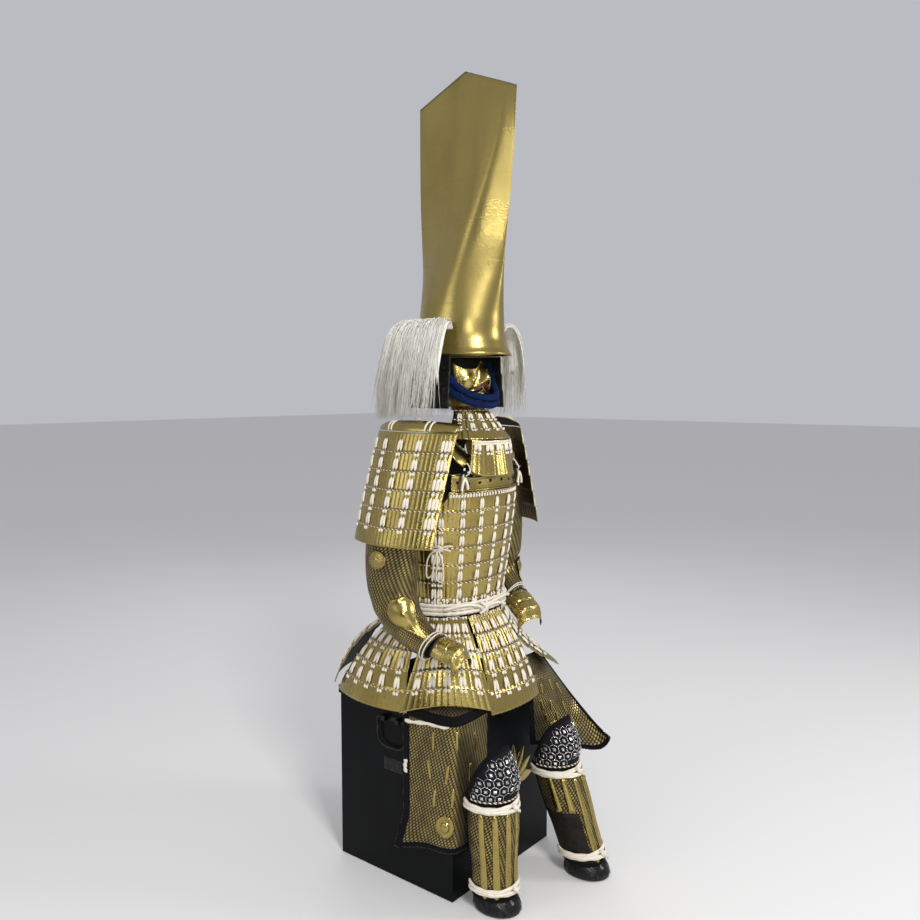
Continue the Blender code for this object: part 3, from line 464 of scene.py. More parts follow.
def dark(colour, share):
    return tuple(c * share for c in colour)


def plain(name, roughness, first, second=None, cloud=(), grain=(), **form):
    """A paint of one colour, or of two that a cloud of noise mixes, with a fine grain where one is given.

    cloud is the noise's scale and detail and its two limits. grain is a scale, a detail and a height.
    """
    paint = Paint(name, roughness, **form)
    if cloud:
        scale, detail, low, high = cloud
        first = paint.mix(paint.noise(scale, detail).between(low, high), first, second)
    paint.colour(first)
    if grain:
        scale, detail, height = grain
        paint.bump(paint.noise(scale, detail), height)
    return paint


def paint_gold(tones):
    """Leaf over lacquer: clouded tone, fine leaf grain and darker, rougher worn spots."""
    paint = Paint("gold_leaf", 0.28, 1.0)
    cloud = paint.noise(14.0, 4.0).between(0.35, 0.70)
    worn = paint.noise(120.0, 4.0).between(0.58, 0.72)
    tone = paint.mix(cloud, tuple(tones.gold), dark(tones.gold, 0.80))
    paint.colour(paint.mix(worn * 0.55, tone, tuple(tones.old_gold)))
    paint.rough(0.20 + cloud * 0.08 + worn * 0.16)
    paint.bump(paint.noise(420.0, 3.0) + paint.noise(60.0) * 0.6, 0.0003)
    return paint


def paint_helmet_gold(tones):
    """Broad sheets of leaf on a smooth bowl: their edges show as faint square joins."""
    paint = Paint("helmet_leaf", 0.32, 1.0)
    cloud = paint.noise(7.0, 5.0).between(0.3, 0.75)
    streak = paint.noise(5.0, 3.0, paint.stretched((1.0, 3.0, 0.5))).between(0.45, 0.7)
    where = paint.place()
    up = paint.node("ShaderNodeSeparateXYZ", None, {0: where}, "Z")
    ahead = paint.node("ShaderNodeSeparateXYZ", None, {0: where}, "Y")
    wander = paint.noise(9.0) * 0.10
    sheets = [((axis * 9.2 + wander).part() - 0.5).size().between(0.47, 0.498) for axis in (up, ahead)]
    join = sheets[0].maths("MAXIMUM", sheets[0], sheets[1])
    tone = paint.mix(cloud * 0.7 + streak * 0.3, tuple(tones.gold), dark(tones.gold, 0.72))
    paint.colour(paint.mix(join * 0.10, tone, tuple(tones.old_gold)))
    paint.rough(0.25 + cloud * 0.11 + join * 0.05)
    paint.bump(paint.noise(260.0, 3.0) * 0.5 + paint.noise(22.0) * 1.0, 0.0005)
    return paint


def paint_hammered_gold(tones):
    paint = Paint("hammered_gold", 0.30, 1.0, 0.1)
    sockets = {"Vector": paint.place(), "Scale": 240.0}
    dimple = paint.node("ShaderNodeTexVoronoi", {"feature": "SMOOTH_F1"}, sockets)
    worn = paint.noise(70.0, 4.0).between(0.52, 0.70)
    paint.colour(paint.mix(worn * 0.6, tuple(tones.gold), tuple(tones.old_gold)))
    paint.rough(0.26 + worn * 0.2)
    paint.bump(dimple, 0.0010)
    return paint


def paint_mail(tones):
    """Mail on dark cloth: rows of slanted gilt links, each row shifted against the next."""
    pitch = bpy.context.scene.armour_sizes.mail_pitch
    paint = Paint("gilt_mail", 0.5, 0.9)
    across, down = paint.pattern()
    level = down / (pitch * 0.70)
    turn = level - level.part()
    bar = (((across + down * 0.55) / pitch + turn * 0.42).part() - 0.5).size()
    row = (level.part() - 0.5).size()
    link = (1.0 - bar.between(0.23, 0.31)) * (1.0 - row.between(0.35, 0.47))
    wire = link.maths("MAXIMUM", link, (1.0 - bar.between(0.06, 0.14)) * 0.30)
    cloud = paint.noise(30.0, 3.0).between(0.35, 0.7)
    gold = paint.mix(cloud * 0.7, tuple(tones.gold), tuple(tones.old_gold))
    paint.colour(paint.mix(wire, (0.004, 0.003, 0.0025), gold))
    paint.metal(wire * 0.95)
    paint.rough(0.85 - wire * 0.5)
    paint.bump(wire, 0.0011)
    return paint


def paint_lacquer(tones):
    """Polished black lacquer over wood, with faint dust and brush waves."""
    paint = Paint("black_lacquer", 0.30, 0.0, 0.05, specular=0.06)
    dust = paint.noise(6.0, 6.0).between(0.40, 0.8)
    paint.colour(paint.mix(dust * 0.5, tuple(tones.lacquer), (0.008, 0.009, 0.010)))
    paint.rough(0.30 + dust * 0.14)
    paint.bump(paint.noise(16.0, 2.0) + paint.noise(300.0) * 0.05, 0.0004)
    return paint


def paint_iron(tones):
    paint = Paint("black_iron", 0.42, 0.5)
    worn = paint.noise(90.0, 4.0).between(0.55, 0.75)
    paint.colour(paint.mix(worn, tuple(tones.lacquer), (0.055, 0.045, 0.035)))
    paint.rough(0.36 + worn * 0.2)
    paint.bump(paint.noise(240.0, 3.0), 0.0003)
    return paint


def paint_lining(tones):
    return plain("black_lining", 0.6, tuple(tones.lacquer), grain=(500.0, 3.0, 0.0003))


def woven(name, colour, second, pitch, roughness, relief):
    """Plain weave: the product of two sines across and down the piece, offset in each other row."""
    paint = Paint(name, roughness, specular=0.15)
    across, down = paint.pattern()
    weave = (across * (WHOLE / pitch)).sine() * (down * (WHOLE / pitch)).sine()
    cloud = paint.noise(40.0, 3.0).between(0.35, 0.7)
    paint.colour(paint.mix(cloud * 0.6 + weave * 0.15, colour, second))
    paint.bump(weave, relief)
    return paint


def paint_navy(tones):
    return woven("navy_cloth", tuple(tones.navy), dark(tones.navy, 0.45), 0.0012, 0.85, 0.0003)


def paint_dark_cloth(tones):
    return woven("dark_cloth", (0.003, 0.003, 0.006), (0.002, 0.002, 0.003), 0.0014, 0.8, 0.0003)


def paint_inner_gold(tones):
    """The gilt inside of a shoulder guard: rougher than its face, and painted darker and browner as painted shade for
    its hollow.
    """
    first, second = dark(tones.old_gold, 0.8), dark(tones.old_gold, 0.4)
    cloud, grain = (30.0, 4.0, 0.35, 0.7), (300.0, 3.0, 0.0003)
    return plain("inner_gold", 0.42, first, second, cloud, grain, metallic=0.9)


def paint_braid(tones):
    """Flat braid: chevrons that meet on the lace's middle line."""
    paint = Paint("white_braid", 0.8, sheen=0.3)
    across, down = paint.pattern()
    plait = ((down * 1400.0 + (across * 2.0 - 1.0).size() * 3.0).sine() + 1.0) * 0.5
    soil = paint.noise(55.0, 3.0).between(0.40, 0.75)
    tone = paint.mix(soil * 0.3, tuple(tones.white), (0.60, 0.53, 0.43))
    paint.colour(paint.mix(plait * 0.2, tone, (0.50, 0.43, 0.34)))
    paint.bump(plait, 0.0005)
    return paint


def paint_tie_cloth(tones):
    """Soft white cotton with long creases along the band."""
    paint = Paint("white_tie_cloth", 0.85)
    across, down = paint.pattern()
    crease = (across * WHOLE * 5.0 + (down * 90.0).sine() * 1.5).sine()
    soil = paint.noise(70.0, 3.0).between(0.40, 0.75)
    paint.colour(paint.mix(soil * 0.4, tuple(tones.white), (0.55, 0.50, 0.42)))
    paint.bump(crease, 0.0006)
    return paint


def paint_rope(tones):
    """Twisted white rope: thin fibres that slant round it."""
    paint = Paint("white_rope", 0.8, sheen=0.3)
    across, down = paint.pattern()
    fibre = ((down * 1500.0 + across * WHOLE * 6.0).sine() + 1.0) * 0.5
    soil = paint.noise(45.0, 3.0).between(0.40, 0.75)
    tone = paint.mix(soil * 0.4, tuple(tones.white), (0.55, 0.48, 0.38))
    paint.colour(paint.mix(fibre * 0.2, tone, (0.50, 0.42, 0.33)))
    paint.bump(fibre, 0.0003)
    return paint


def paint_edge_cord(tones):
    """Two-coloured lacing along a lame: white and brown turns."""
    paint = Paint("white_brown_cord", 0.8, sheen=0.2)
    across, down = paint.pattern()
    turn = (down * (WHOLE / EDGE_TURN) + across * WHOLE).sine().between(-0.55, -0.25)
    paint.colour(paint.mix(turn, tuple(tones.white), (0.10, 0.055, 0.022)))
    return paint


def paint_hair(tones):
    paint = Paint("white_hair", 0.55, sheen=0.2)
    streak = paint.noise(60.0, 3.0, paint.stretched((6.0, 6.0, 0.5))).between(0.35, 0.70)
    paint.colour(paint.mix(streak, tuple(tones.hair), (0.62, 0.60, 0.54)))
    return paint


def paint_moustache(tones):
    return plain("brown_hair", 0.6, tuple(tones.brown), (0.25, 0.10, 0.05), (300.0, 3.0, 0.4, 0.6))


def paint_leather(tones):
    first, second = (0.013, 0.009, 0.006), (0.006, 0.004, 0.003)
    cloud, grain = (60.0, 3.0, 0.4, 0.65), (400.0, 4.0, 0.0004)
    return plain("brown_leather", 0.60, first, second, cloud, grain, specular=0.18)


def paint_brocade(tones):
    """Quilted black cloth: each diamond swells between its stitched lines."""
    paint = Paint("knee_brocade", 0.75, specular=0.12)
    across, down = paint.pattern()
    swell = (across * (WHOLE / 0.0040)).sine() * (down * (WHOLE / 0.0040)).sine()
    paint.colour(paint.mix(swell * 0.5 + 0.5, (0.003, 0.003, 0.005), (0.012, 0.012, 0.016)))
    paint.bump(swell, 0.0004)
    return paint


def paint_fur(tones):
    return plain("black_fur", 0.30, (0.003, 0.003, 0.004), (0.012, 0.011, 0.010), (160.0, 3.0, 0.4, 0.6))


def paint_silver(tones):
    return plain("silver", 0.25, (0.75, 0.74, 0.70), (0.45, 0.44, 0.42), (200.0, 3.0, 0.4, 0.6), metallic=1.0)


def paint_dark_card(tones):
    return plain("dark_card", 0.9, (0.010, 0.009, 0.006))


def paint_floor(tones):
    return plain("studio_floor", 0.9, (0.80, 0.79, 0.77))


# Meshes from arrays


def smooth(where, places, values):
    """Catmull-Rom curve through (places, values), read at the array where."""
    places = np.asarray(places, float)
    values = np.asarray(values, float)
    slopes = np.gradient(values, places)
    where = np.clip(np.asarray(where, float), places.min(), places.max())
    k = np.clip(np.searchsorted(places, where, side="right") - 1, 0, len(places) - 2)
    width = places[k + 1] - places[k]
    t = (where - places[k]) / width
    start = (1 + 2 * t) * (1 - t) ** 2 * values[k] + t * (1 - t) ** 2 * width * slopes[k]
    end = t * t * (3 - 2 * t) * values[k + 1] + t * t * (t - 1) * width * slopes[k + 1]
    return start + end


def column(rows, field):
    return [getattr(row, field) for row in rows]


def ease(t):
    """0 below 0, 1 above 1 and a smooth step between."""
    t = np.clip(t, 0.0, 1.0)
    return t * t * (3 - 2 * t)


def stack(x, y, z):
    return np.stack(np.broadcast_arrays(x, y, z), axis=-1).astype(float)


def unit(vectors):
    return vectors / np.maximum(np.linalg.norm(vectors, axis=-1, keepdims=True), 1e-12)


def oval(around, half_width, half_depth, centre_y, z, squareness=0.88):
    """Points on a rounded oval: a circle whose sine and cosine are raised to a power below 1."""
    s = np.sin(np.radians(around))
    c = np.cos(np.radians(around))
    x = half_width * np.sign(s) * np.abs(s) ** squareness
    y = centre_y - half_depth * np.sign(c) * np.abs(c) ** squareness
    return stack(x, y, z)


def spread(rows, columns, low=-1.0, high=1.0):
    v, u = np.meshgrid(np.linspace(0, 1, rows), np.linspace(low, high, columns), indexing="ij")
    return u, v


def normals(surface, u, v):
    """Unit normals of a surface, from small steps along u and v."""
    step = 1e-4
    across = surface(u + step, v) - surface(u - step, v)
    down = surface(u, v + step) - surface(u, v - step)
    return unit(np.cross(down, across))


def lifted(surface, u, v, lift):
    return surface(u, v) + normals(surface, u, v) * np.asarray(lift)[..., None]


def span(points, axis):
    """The mean length of a grid's lines along one of its axes."""
    return np.linalg.norm(np.diff(points, axis=axis), axis=-1).sum(axis=axis).mean()


def width_of(surface):
    return span(surface(*spread(3, 41)), 1)


def height_of(surface):
    return span(surface(*spread(21, 3)), 0)


def hump(distance, width):
    """A smooth hump: 1 in its middle and almost 0 two widths away."""
    return np.exp(-((distance / width) ** 2))


def rounded(t, power, least=0.05):
    """The share of full size along a strand: 1 over most of it, and rounded off at both ends."""
    return np.sqrt(np.clip(1 - np.abs(2 * t - 1) ** power, least, 1))


def distances(points, axis):
    """How far each line of a grid lies from its first one, as a mean over the grid."""
    steps = np.linalg.norm(np.diff(points, axis=axis), axis=-1).mean(axis=1 - axis)
    return np.append(0.0, steps.cumsum())


def add_mesh(name, vertices, faces, finish, uv=None, slot=None, flat=False):
    """One piece of the suit: its mesh, paint and slot, and the solid of its name, if any, replaced."""
    solid = name in frame["nodes"]
    dressed = name + "_dress" if solid else name
    mesh = bpy.data.meshes.new(dressed)
    mesh.from_pydata(vertices.reshape(-1, 3), [], faces.tolist() if hasattr(faces, "tolist") else faces)
    if uv is not None:
        corners = np.empty(len(mesh.loops), np.int32)
        mesh.loops.foreach_get("vertex_index", corners)
        layer = mesh.uv_layers.new(name="pattern")
        layer.data.foreach_set("uv", uv.reshape(-1, 2)[corners].astype(np.float32).ravel())
    if not flat:
        mesh.shade_smooth()
    mesh.materials.append(painted(finish))
    obj = bpy.data.objects.new(dressed, mesh)
    bpy.context.scene.collection.objects.link(obj)
    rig.slot(obj, slot or SLOTS[finish])
    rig.ride(obj, "suit")
    if solid:
        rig.replaces(obj, name)
    return obj


def grid_faces(rows, columns, wrap=False, start=0):
    index = start + np.arange(rows * columns).reshape(rows, columns)
    if wrap:
        index = np.concatenate([index, index[:, :1]], axis=1)
    corners = (index[:-1, :-1], index[1:, :-1], index[1:, 1:], index[:-1, 1:])
    return np.stack(corners, axis=-1).reshape(-1, 4)


def ring_faces(count, rings, corners):
    """Faces of count stacks of rings, one stack after another in the points, each closed at both ends."""
    size = rings * corners
    starts = np.arange(count)[:, None] * size
    faces = (grid_faces(rings, corners, True)[None] + starts[..., None]).reshape(-1, 4).tolist()
    for cap in (np.arange(corners), size - 1 - np.arange(corners)):
        faces += (starts + cap).tolist()
    return faces


def wall(name, points, finish, thickness=PLATE, inside="lining", wrap=False, weld=False, flip=False):
    """A wall whose outer face is the grid of points, with a lined inner face and rim. flip turns it over."""
    points = points[:, ::-1] if flip else points
    rows, columns = points.shape[:2]
    v, u = np.meshgrid(distances(points, 0), distances(points, 1), indexing="ij")
    obj = add_mesh(name, points, grid_faces(rows, columns, wrap), finish, np.stack([u, v], axis=-1))
    if weld:
        close_up(obj)
    thicken(obj, thickness, inside)
    return obj


def close_up(obj):
    """Joins points that share a place."""
    weld = obj.modifiers.new("Weld", "WELD")
    weld.merge_threshold = 1e-5


def thicken(obj, thickness, inside="lining"):
    obj.data.materials.append(painted(inside))
    skin = obj.modifiers.new("Wall", "SOLIDIFY")
    skin.thickness = thickness
    skin.offset = -1.0
    skin.material_offset = 1


def strands(centre, normal, half_width, half_height, sides=6, lobes=0, twist=0.0, swell=0.25):
    """Tubes along centre lines, all at once: an ellipse, or a lobed rope section that turns as it goes.

    centre and normal are arrays of (tube, step, 3), and the sizes may vary by step.
    """
    count, steps = centre.shape[:2]
    along = unit(np.gradient(centre, axis=1))
    side = unit(np.cross(along, normal))
    up = np.cross(side, along)
    steps_long = np.linalg.norm(np.diff(centre, axis=1), axis=-1)
    length = np.concatenate([np.zeros((count, 1)), steps_long.cumsum(1)], axis=1)
    angle = np.arange(sides) / sides * WHOLE
    turned = angle[None, None, :] - twist * length[..., None]
    bulge = 1 + (swell * np.cos(lobes * turned) if lobes else 0.0)
    wide = np.broadcast_to(half_width, (count, steps))[..., None] * bulge * np.cos(angle)
    high = np.broadcast_to(half_height, (count, steps))[..., None] * bulge * np.sin(angle)
    points = centre[:, :, None] + side[:, :, None] * wide[..., None] + up[:, :, None] * high[..., None]
    around = np.broadcast_to(angle / WHOLE, (count, steps, sides))
    uv = np.stack([around, np.broadcast_to(length[..., None], around.shape)], axis=-1)
    return points, ring_faces(count, steps, sides), uv


def tubes(name, centre, normal, half_width, half_height, finish, slot=None, **form):
    points, faces, uv = strands(centre, normal, half_width, half_height, **form)
    return add_mesh(name, points, faces, finish, uv, slot)


def closed_cord(name, path, radius, sides=12, lobes=3, pitch=0.022, swell=0.2):
    """A closed rope along a loop of points: a lobed section that turns a whole number of times."""
    steps = len(path)
    along = unit(np.roll(path, -1, 0) - np.roll(path, 1, 0))
    side = unit(np.cross(along, [0.0, 0.0, 1.0]))
    up = np.cross(side, along)
    length = np.linalg.norm(np.roll(path, -1, 0) - path, axis=1).sum()
    share = np.arange(steps) / steps
    turns = round(length / pitch)
    angle = np.arange(sides) / sides * WHOLE
    bulge = radius * (1 + swell * np.cos(lobes * (angle[None] - share[:, None] * WHOLE * turns / lobes)))
    points = path[:, None] + side[:, None] * (bulge * np.cos(angle))[..., None]
    points = points + up[:, None] * (bulge * np.sin(angle))[..., None]
    faces = grid_faces(steps + 1, sides, True) % (steps * sides)
    uv = np.stack(np.broadcast_arrays((angle / WHOLE)[None], (share * length)[:, None]), axis=-1)
    return add_mesh(name, points, faces, "rope", uv)


def through(places, count):
    """A smooth curve through given points, read at evenly spread parameters."""
    places = np.asarray(places, float)
    key = np.concatenate([[0], np.cumsum(np.linalg.norm(np.diff(places, axis=0), axis=1))])
    where = np.linspace(0, key[-1], count)
    return np.stack([smooth(where, key, places[:, k]) for k in range(3)], axis=-1)


def outward_from(path, middle):
    """Directions that point away from a middle point, for tubes that lie round it."""
    return unit(path - np.asarray(middle, float))


def free_cord(name, places, radius, count=24, middle=(0.0, 0.0, 0.0), **form):
    path = through(places, count)[None]
    return tubes(name, path, outward_from(path, middle), radius, radius, "rope", **form)


# Laced lames


def lame_lift(v, count, height, step):
    """How far a laced piece stands out at v: from each lame's proud top edge in to its tucked foot."""
    ledge = LAME_LEDGE / height
    places = [-0.001, 0.0]
    lifts = [step, step]
    for i in range(1, count):
        places += [i / count - ledge / 2, i / count + ledge / 2]
        lifts += [0.0, step]
    places.append(1.0)
    lifts.append(step * 0.4)
    return np.interp(v, places, lifts)


def scale_rows(count, height):
    """The rows of a laced piece: each lame has a rolled top edge, a body and a foot."""
    ledge = LAME_LEDGE / height
    rows = [0.0, 0.004]
    for i in range(count):
        top = i / count + (ledge / 2 if i else 0.004)
        foot = (i + 1) / count - (ledge / 2 if i < count - 1 else 0.0)
        rows += list(top + (foot - top) * np.array([0.03, 0.10, 0.16, 0.45, 0.75, 0.93, 1.0]))
    return np.array(sorted(set(np.round(rows, 6))))


def laced_wall(name, surface, count, height, step=LAME_STEP, flip=False, inside="lining", reach=None):
    """A laced piece: lames of narrow scales, each scale sloping from a raised edge down to its neighbour.

    reach, where given, is the share of its full width that the surface has at v: the scales stay upright
    there and end at its edge.
    """
    sizes = bpy.context.scene.armour_sizes
    across = width_of(surface)
    scales = max(4, round(across / sizes.scale_pitch))
    share = np.array([0.0, 0.08, 0.45, 0.93])
    places = (np.arange(scales)[:, None] + share[None]).ravel()
    u_line = np.append(places, scales) / scales * 2 - 1
    relief = np.append(np.tile([0.0, 0.95, 0.85, 0.35], scales), 0.0) * sizes.scale_relief
    rows = scale_rows(count, height)
    v, u = np.meshgrid(rows, u_line, indexing="ij")
    if reach is not None:
        u = np.clip(u / reach(v), -1, 1)
    within = (v * count) % 1.0
    rim = 0.0007 * hump(within - 0.045, 0.03) * np.sign(step)
    rolled = 1 - hump(within - 0.045, 0.05)
    raised = relief[None, :] * rolled * np.sign(step)
    points = lifted(surface, u, v, lame_lift(v, count, height, step) + rim + raised)
    wall(name, points, "gold", inside=inside, weld=reach is not None, flip=flip)


def lace_places(surface, margin=0.022):
    """Where the lacing columns stand across a piece: a whole number of equal gaps of about the lacing distance."""
    across = width_of(surface)
    gap = bpy.context.scene.armour_sizes.lacing_gap
    count = max(3, round((across - 2 * margin) / gap) + 1)
    edge = 1 - 2 * margin / across
    return np.linspace(-edge, edge, count)


def local_width(surface, u, v):
    """Metres across a surface from u = -1 to u = 1, as measured at each place."""
    small = 1e-3
    return np.linalg.norm(surface(u + small, v) - surface(u - small, v), axis=-1) / small


def laces(name, surface, count, height, step=LAME_STEP, columns=None, last=None, reach=None, width=None):
    """The lacing: over each lame a pair of plump laces that part towards their foot, and a double knot below.

    reach, where given, says how far from the middle a surface goes at v: laces beyond it are left out.
    """
    width = width or bpy.context.scene.armour_sizes.lace_width
    side = np.sign(step)
    places = lace_places(surface) if columns is None else np.asarray(columns)
    rows = np.arange(count - 1 if last is None else last)
    u0, i0 = (a.ravel() for a in np.meshgrid(places, rows, indexing="xy"))
    if reach is not None:
        kept = np.abs(u0) < reach((i0 + 0.5) / count)
        u0, i0 = u0[kept], i0[kept]
    u0, i0 = u0[:, None], i0[:, None]
    across = local_width(surface, u0, (i0 + 0.7) / count)
    t = np.linspace(0, 1, 6)[None]
    plump = rounded(t, 7)
    pieces = []
    for hand in (-1, 1):
        u = u0 + 2 * hand * width * (0.40 + 0.26 * t) / across
        v = (i0 + 0.38 + 0.62 * t) / count
        lift = lame_lift(v, count, height, step) + side * (0.0018 + 0.0018 * np.sin(np.pi * t))
        pieces.append(strands_on(surface, u, v, lift, side, 0.56 * width * plump, 0.0025 * plump))
        u = u0 + 2 * width * (hand * 0.50 + 0.14 * (2 * t - 1)) / across
        v = (i0 + 1.10 + 0.17 * t) / count
        lift = lame_lift(v, count, height, step) + side * 0.0022
        pieces.append(strands_on(surface, u, v, lift, side, 0.52 * width * plump, 0.0025 * plump))
    return joined(name, pieces, "braid")


def strands_on(surface, u, v, lift, side, half_width, half_height, **form):
    """Tubes whose centre lines are given on a surface, as u, v and a lift from it."""
    u, v, lift = np.broadcast_arrays(u, v, lift)
    normal = normals(surface, u, v) * side
    centre = surface(u, v) + normal * (lift * side)[..., None]
    return strands(centre, normal, half_width, half_height, **form)


def joined(name, pieces, finish, slot=None):
    """One mesh from several sets of vertices, faces and uv."""
    vertices, faces, uvs, start = [], [], [], 0
    for points, piece_faces, uv in pieces:
        vertices.append(points.reshape(-1, 3))
        uvs.append(uv.reshape(-1, 2))
        faces += [[start + k for k in face] for face in piece_faces]
        start += len(vertices[-1])
    return add_mesh(name, np.concatenate(vertices), faces, finish, np.concatenate(uvs), slot)


def edge_cords(name, surface, count, height, step=LAME_STEP, first=0):
    """A two-coloured cord along the top edge of each lame."""
    line = np.linspace(-0.985, 0.985, int(width_of(surface) / 0.0034))[None]
    v = (np.arange(first, count) + 0.075)[:, None] / count
    side = np.sign(step)
    lift = lame_lift(v, count, height, step) + side * 0.0014
    cords = strands_on(surface, line, v, lift, side, 0.0013, 0.0013, **TWO_PLY)
    return joined(name, [cords], "edge_cord")


def studs(name, surface, places, radius, height, finish, slot=None, side=1.0, base=0.0):
    """Round heads on a surface: rings that shrink as they rise, with a closed top."""
    corners = 10
    turn = np.arange(corners) / corners * WHOLE
    u0, v0 = np.array(places, float).T[..., None]
    rings = []
    for share, rise in ((1.0, -0.3), (1.0, 0.25), (0.82, 0.7), (0.45, 0.95)):
        u = u0 + 2 * radius * share * np.cos(turn) / width_of(surface)
        v = v0 + radius * share * np.sin(turn) / height_of(surface)
        rings.append(lifted(surface, u, v, side * (base + height * rise) + 0 * u))
    faces = ring_faces(len(places), len(rings), corners)
    faces = faces if side > 0 else [face[::-1] for face in faces]
    return add_mesh(name, np.stack(rings, axis=1), faces, finish, slot=slot)


def disc(name, surface, u0, v0, radius, out, profile, rings):
    """A round gilt boss: rings whose height is a function of the share of its radius and of the turn."""
    turn = np.linspace(0, WHOLE, 48, endpoint=False)
    share, turn = np.meshgrid(np.linspace(1, 0, rings), turn, indexing="ij")
    u = u0 + 2 * radius * share * np.cos(turn) / width_of(surface)
    v = v0 + radius * share * np.sin(turn) / height_of(surface)
    faces = grid_faces(rings, 48, True)
    points = lifted(surface, u, v, out * profile(share, turn))
    made = add_mesh(name, points, faces if out > 0 else faces[:, ::-1], "gold")
    close_up(made)
    thicken(made, 0.0008, "gold")


def fluted(share, turn):
    """A low dome with a raised edge and a raised middle, and flutes between them."""
    dome = 0.0042 * (1 - share ** 2) + 0.0016 * hump(share - 0.90, 0.07) + 0.0022 * hump(share, 0.16)
    flute = 0.0005 * np.cos(turn * 16) * ease((0.85 - share) / 0.1) * ease((share - 0.15) / 0.1)
    return np.where(share == 1, 0.0002, 0.0012 + dome + flute)


def ringed(share, turn):
    """A half ball inside two raised rings."""
    rise = 0.0008 + 0.0018 * hump(share - 0.88, 0.06) + 0.0014 * hump(share - 0.62, 0.05)
    return np.where(share == 1, 0.0001, rise + 0.0085 * np.sqrt(np.clip(1 - (share / 0.48) ** 2, 0, 1)))


def ribs(name, surface, middles, tops, feet, half_width, height, lean=0.0):
    """Convex gilt splints on a surface, with an arched section and rounded ends. lean shifts the foot."""
    t = np.linspace(0, 1, 17)
    middles, tops, feet, lean = (a[:, None] for a in np.broadcast_arrays(middles, tops, feet, lean))
    u = middles + lean * (t - 0.5)
    v = tops + (feet - tops) * t
    round_end = rounded(t, 14, 0.02)
    wide = np.interp(t, (0, 1), half_width) * round_end
    return joined(name, [strands_on(surface, u, v, 0.0002, 1.0, wide, height * round_end, sides=10)], "gold")


# The armour's surfaces, the same forms as its solids


def torso(around, z, out=0.0):
    heights = column(TORSO, "z")
    half_width = smooth(z, heights, column(TORSO, "half_width")) + out
    half_depth = smooth(z, heights, column(TORSO, "half_depth")) + out
    return oval(around, half_width, half_depth, smooth(z, heights, column(TORSO, "centre_y")), z)


def breast_surface(u, v):
    z = CHEST_LINE_Z + (WAIST_Z - CHEST_LINE_Z) * v
    reach = FULL_REACH - BREAST_CUT * ease((z - SIDE_TOP_Z) / (CHEST_LINE_Z - SIDE_TOP_Z))
    return torso(u * reach, z)


def back_surface(u, v):
    z = CHEST_LINE_Z + BACK_RISE + (WAIST_Z - CHEST_LINE_Z - BACK_RISE) * v
    reach = FULL_REACH - BACK_CUT * ease((z - SIDE_TOP_Z) / (CHEST_LINE_Z - SIDE_TOP_Z))
    return torso(180.0 + u * reach, z)


def breast_plate_surface(u, v):
    """The plain plate above the breast lames, its top edge higher at the middle of each side."""
    top = BREAST_TOP_Z + 0.004 * np.cos(np.pi * 2 * np.abs(u)) - 0.004
    return torso(u * 52.0, top + (CHEST_LINE_Z + 0.0014 - top) * v, PLATE_OUT)


def back_plate_surface(u, v):
    top = BACK_TOP_Z - 0.012 * u * u
    return torso(180.0 + u * 54.0, top + (CHEST_LINE_Z + BACK_RISE + 0.0014 - top) * v, PLATE_OUT)


STRAP_PATH = (
    (-0.108, 0.0500, 1.1150),
    (-0.113, 0.0460, 1.1450),
    (-0.118, 0.0180, 1.1710),
    (-0.120, -0.0250, 1.1790),
    (-0.117, -0.0680, 1.1740),
    (-0.109, -0.1060, 1.1560),
    (-0.100, -0.1360, 1.1280),
    (-0.095, -0.1510, 1.1020),
)
STRAP_WIDTH = 0.066


def strap_surface(sign):
    """A shoulder strap: a band carried along its path over the shoulder, rounded at its front end."""

    def surface(u, v):
        key = np.linspace(0, 1, len(STRAP_PATH))
        path = np.array(STRAP_PATH)
        half = 0.5 * STRAP_WIDTH * np.sqrt(np.clip(1 - 0.75 * ease((v - 0.84) / 0.16) ** 2, 0.05, 1))
        dish = 0.006 * u * u
        x = smooth(v, key, path[:, 0]) + half * u
        y = smooth(v, key, path[:, 1]) + dish * 0.2
        return stack(x * -sign, y, smooth(v, key, path[:, 2]) - dish)

    return surface


def collar_surface(u, v):
    """The standing collar round the back and sides of the neck, flared outwards at its top."""
    flare = 0.020 * np.clip(1 - v, 0, None) ** 1.3
    top = COLLAR_TOP_Z - 0.008 * np.abs(u)
    z = top + (COLLAR_FOOT_Z - top) * v
    return oval(180.0 + u * 112.0, 0.070 + flare, 0.072 + flare, -0.040, z, 1.0)


def placed(arm, out, ahead, z):
    """A point given outwards from the arm and ahead of the guard's middle."""
    c, s = math.cos(arm.guard_turn), math.sin(arm.guard_turn)
    return stack(arm.sign * (arm.guard_x + out * c - ahead * s), arm.guard_y - ahead * c - out * s, z)


def sode_surface(arm):
    """A shoulder guard: an arc in plan, hung with its foot flared away from the arm."""

    def surface(u, v):
        flare = SODE_FLARE * np.clip(v, 0, 1) ** 0.9
        out = flare - SODE_CURVE_RADIUS * (1 - np.cos(SODE_TURN * u))
        ahead = SODE_CURVE_RADIUS * np.sin(SODE_TURN * u) - 0.012 * v
        return placed(arm, out, ahead, arm.guard_z - SODE_HEIGHT * v)

    return surface


def crown_surface(arm):
    """The plate on the guard's top edge, rolled inwards over the shoulder, its ends lower than its middle."""

    def surface(u, v):
        lean = (1 - v) * math.radians(84)
        rise = (0.026 - 0.008 * u * u) * np.sin(lean)
        out = 0.003 - 0.034 * (1 - np.cos(lean)) - SODE_CURVE_RADIUS * (1 - np.cos(SODE_TURN * u))
        return placed(arm, out, SODE_CURVE_RADIUS * np.sin(SODE_TURN * u), arm.guard_z + 0.0033 + rise)

    return surface


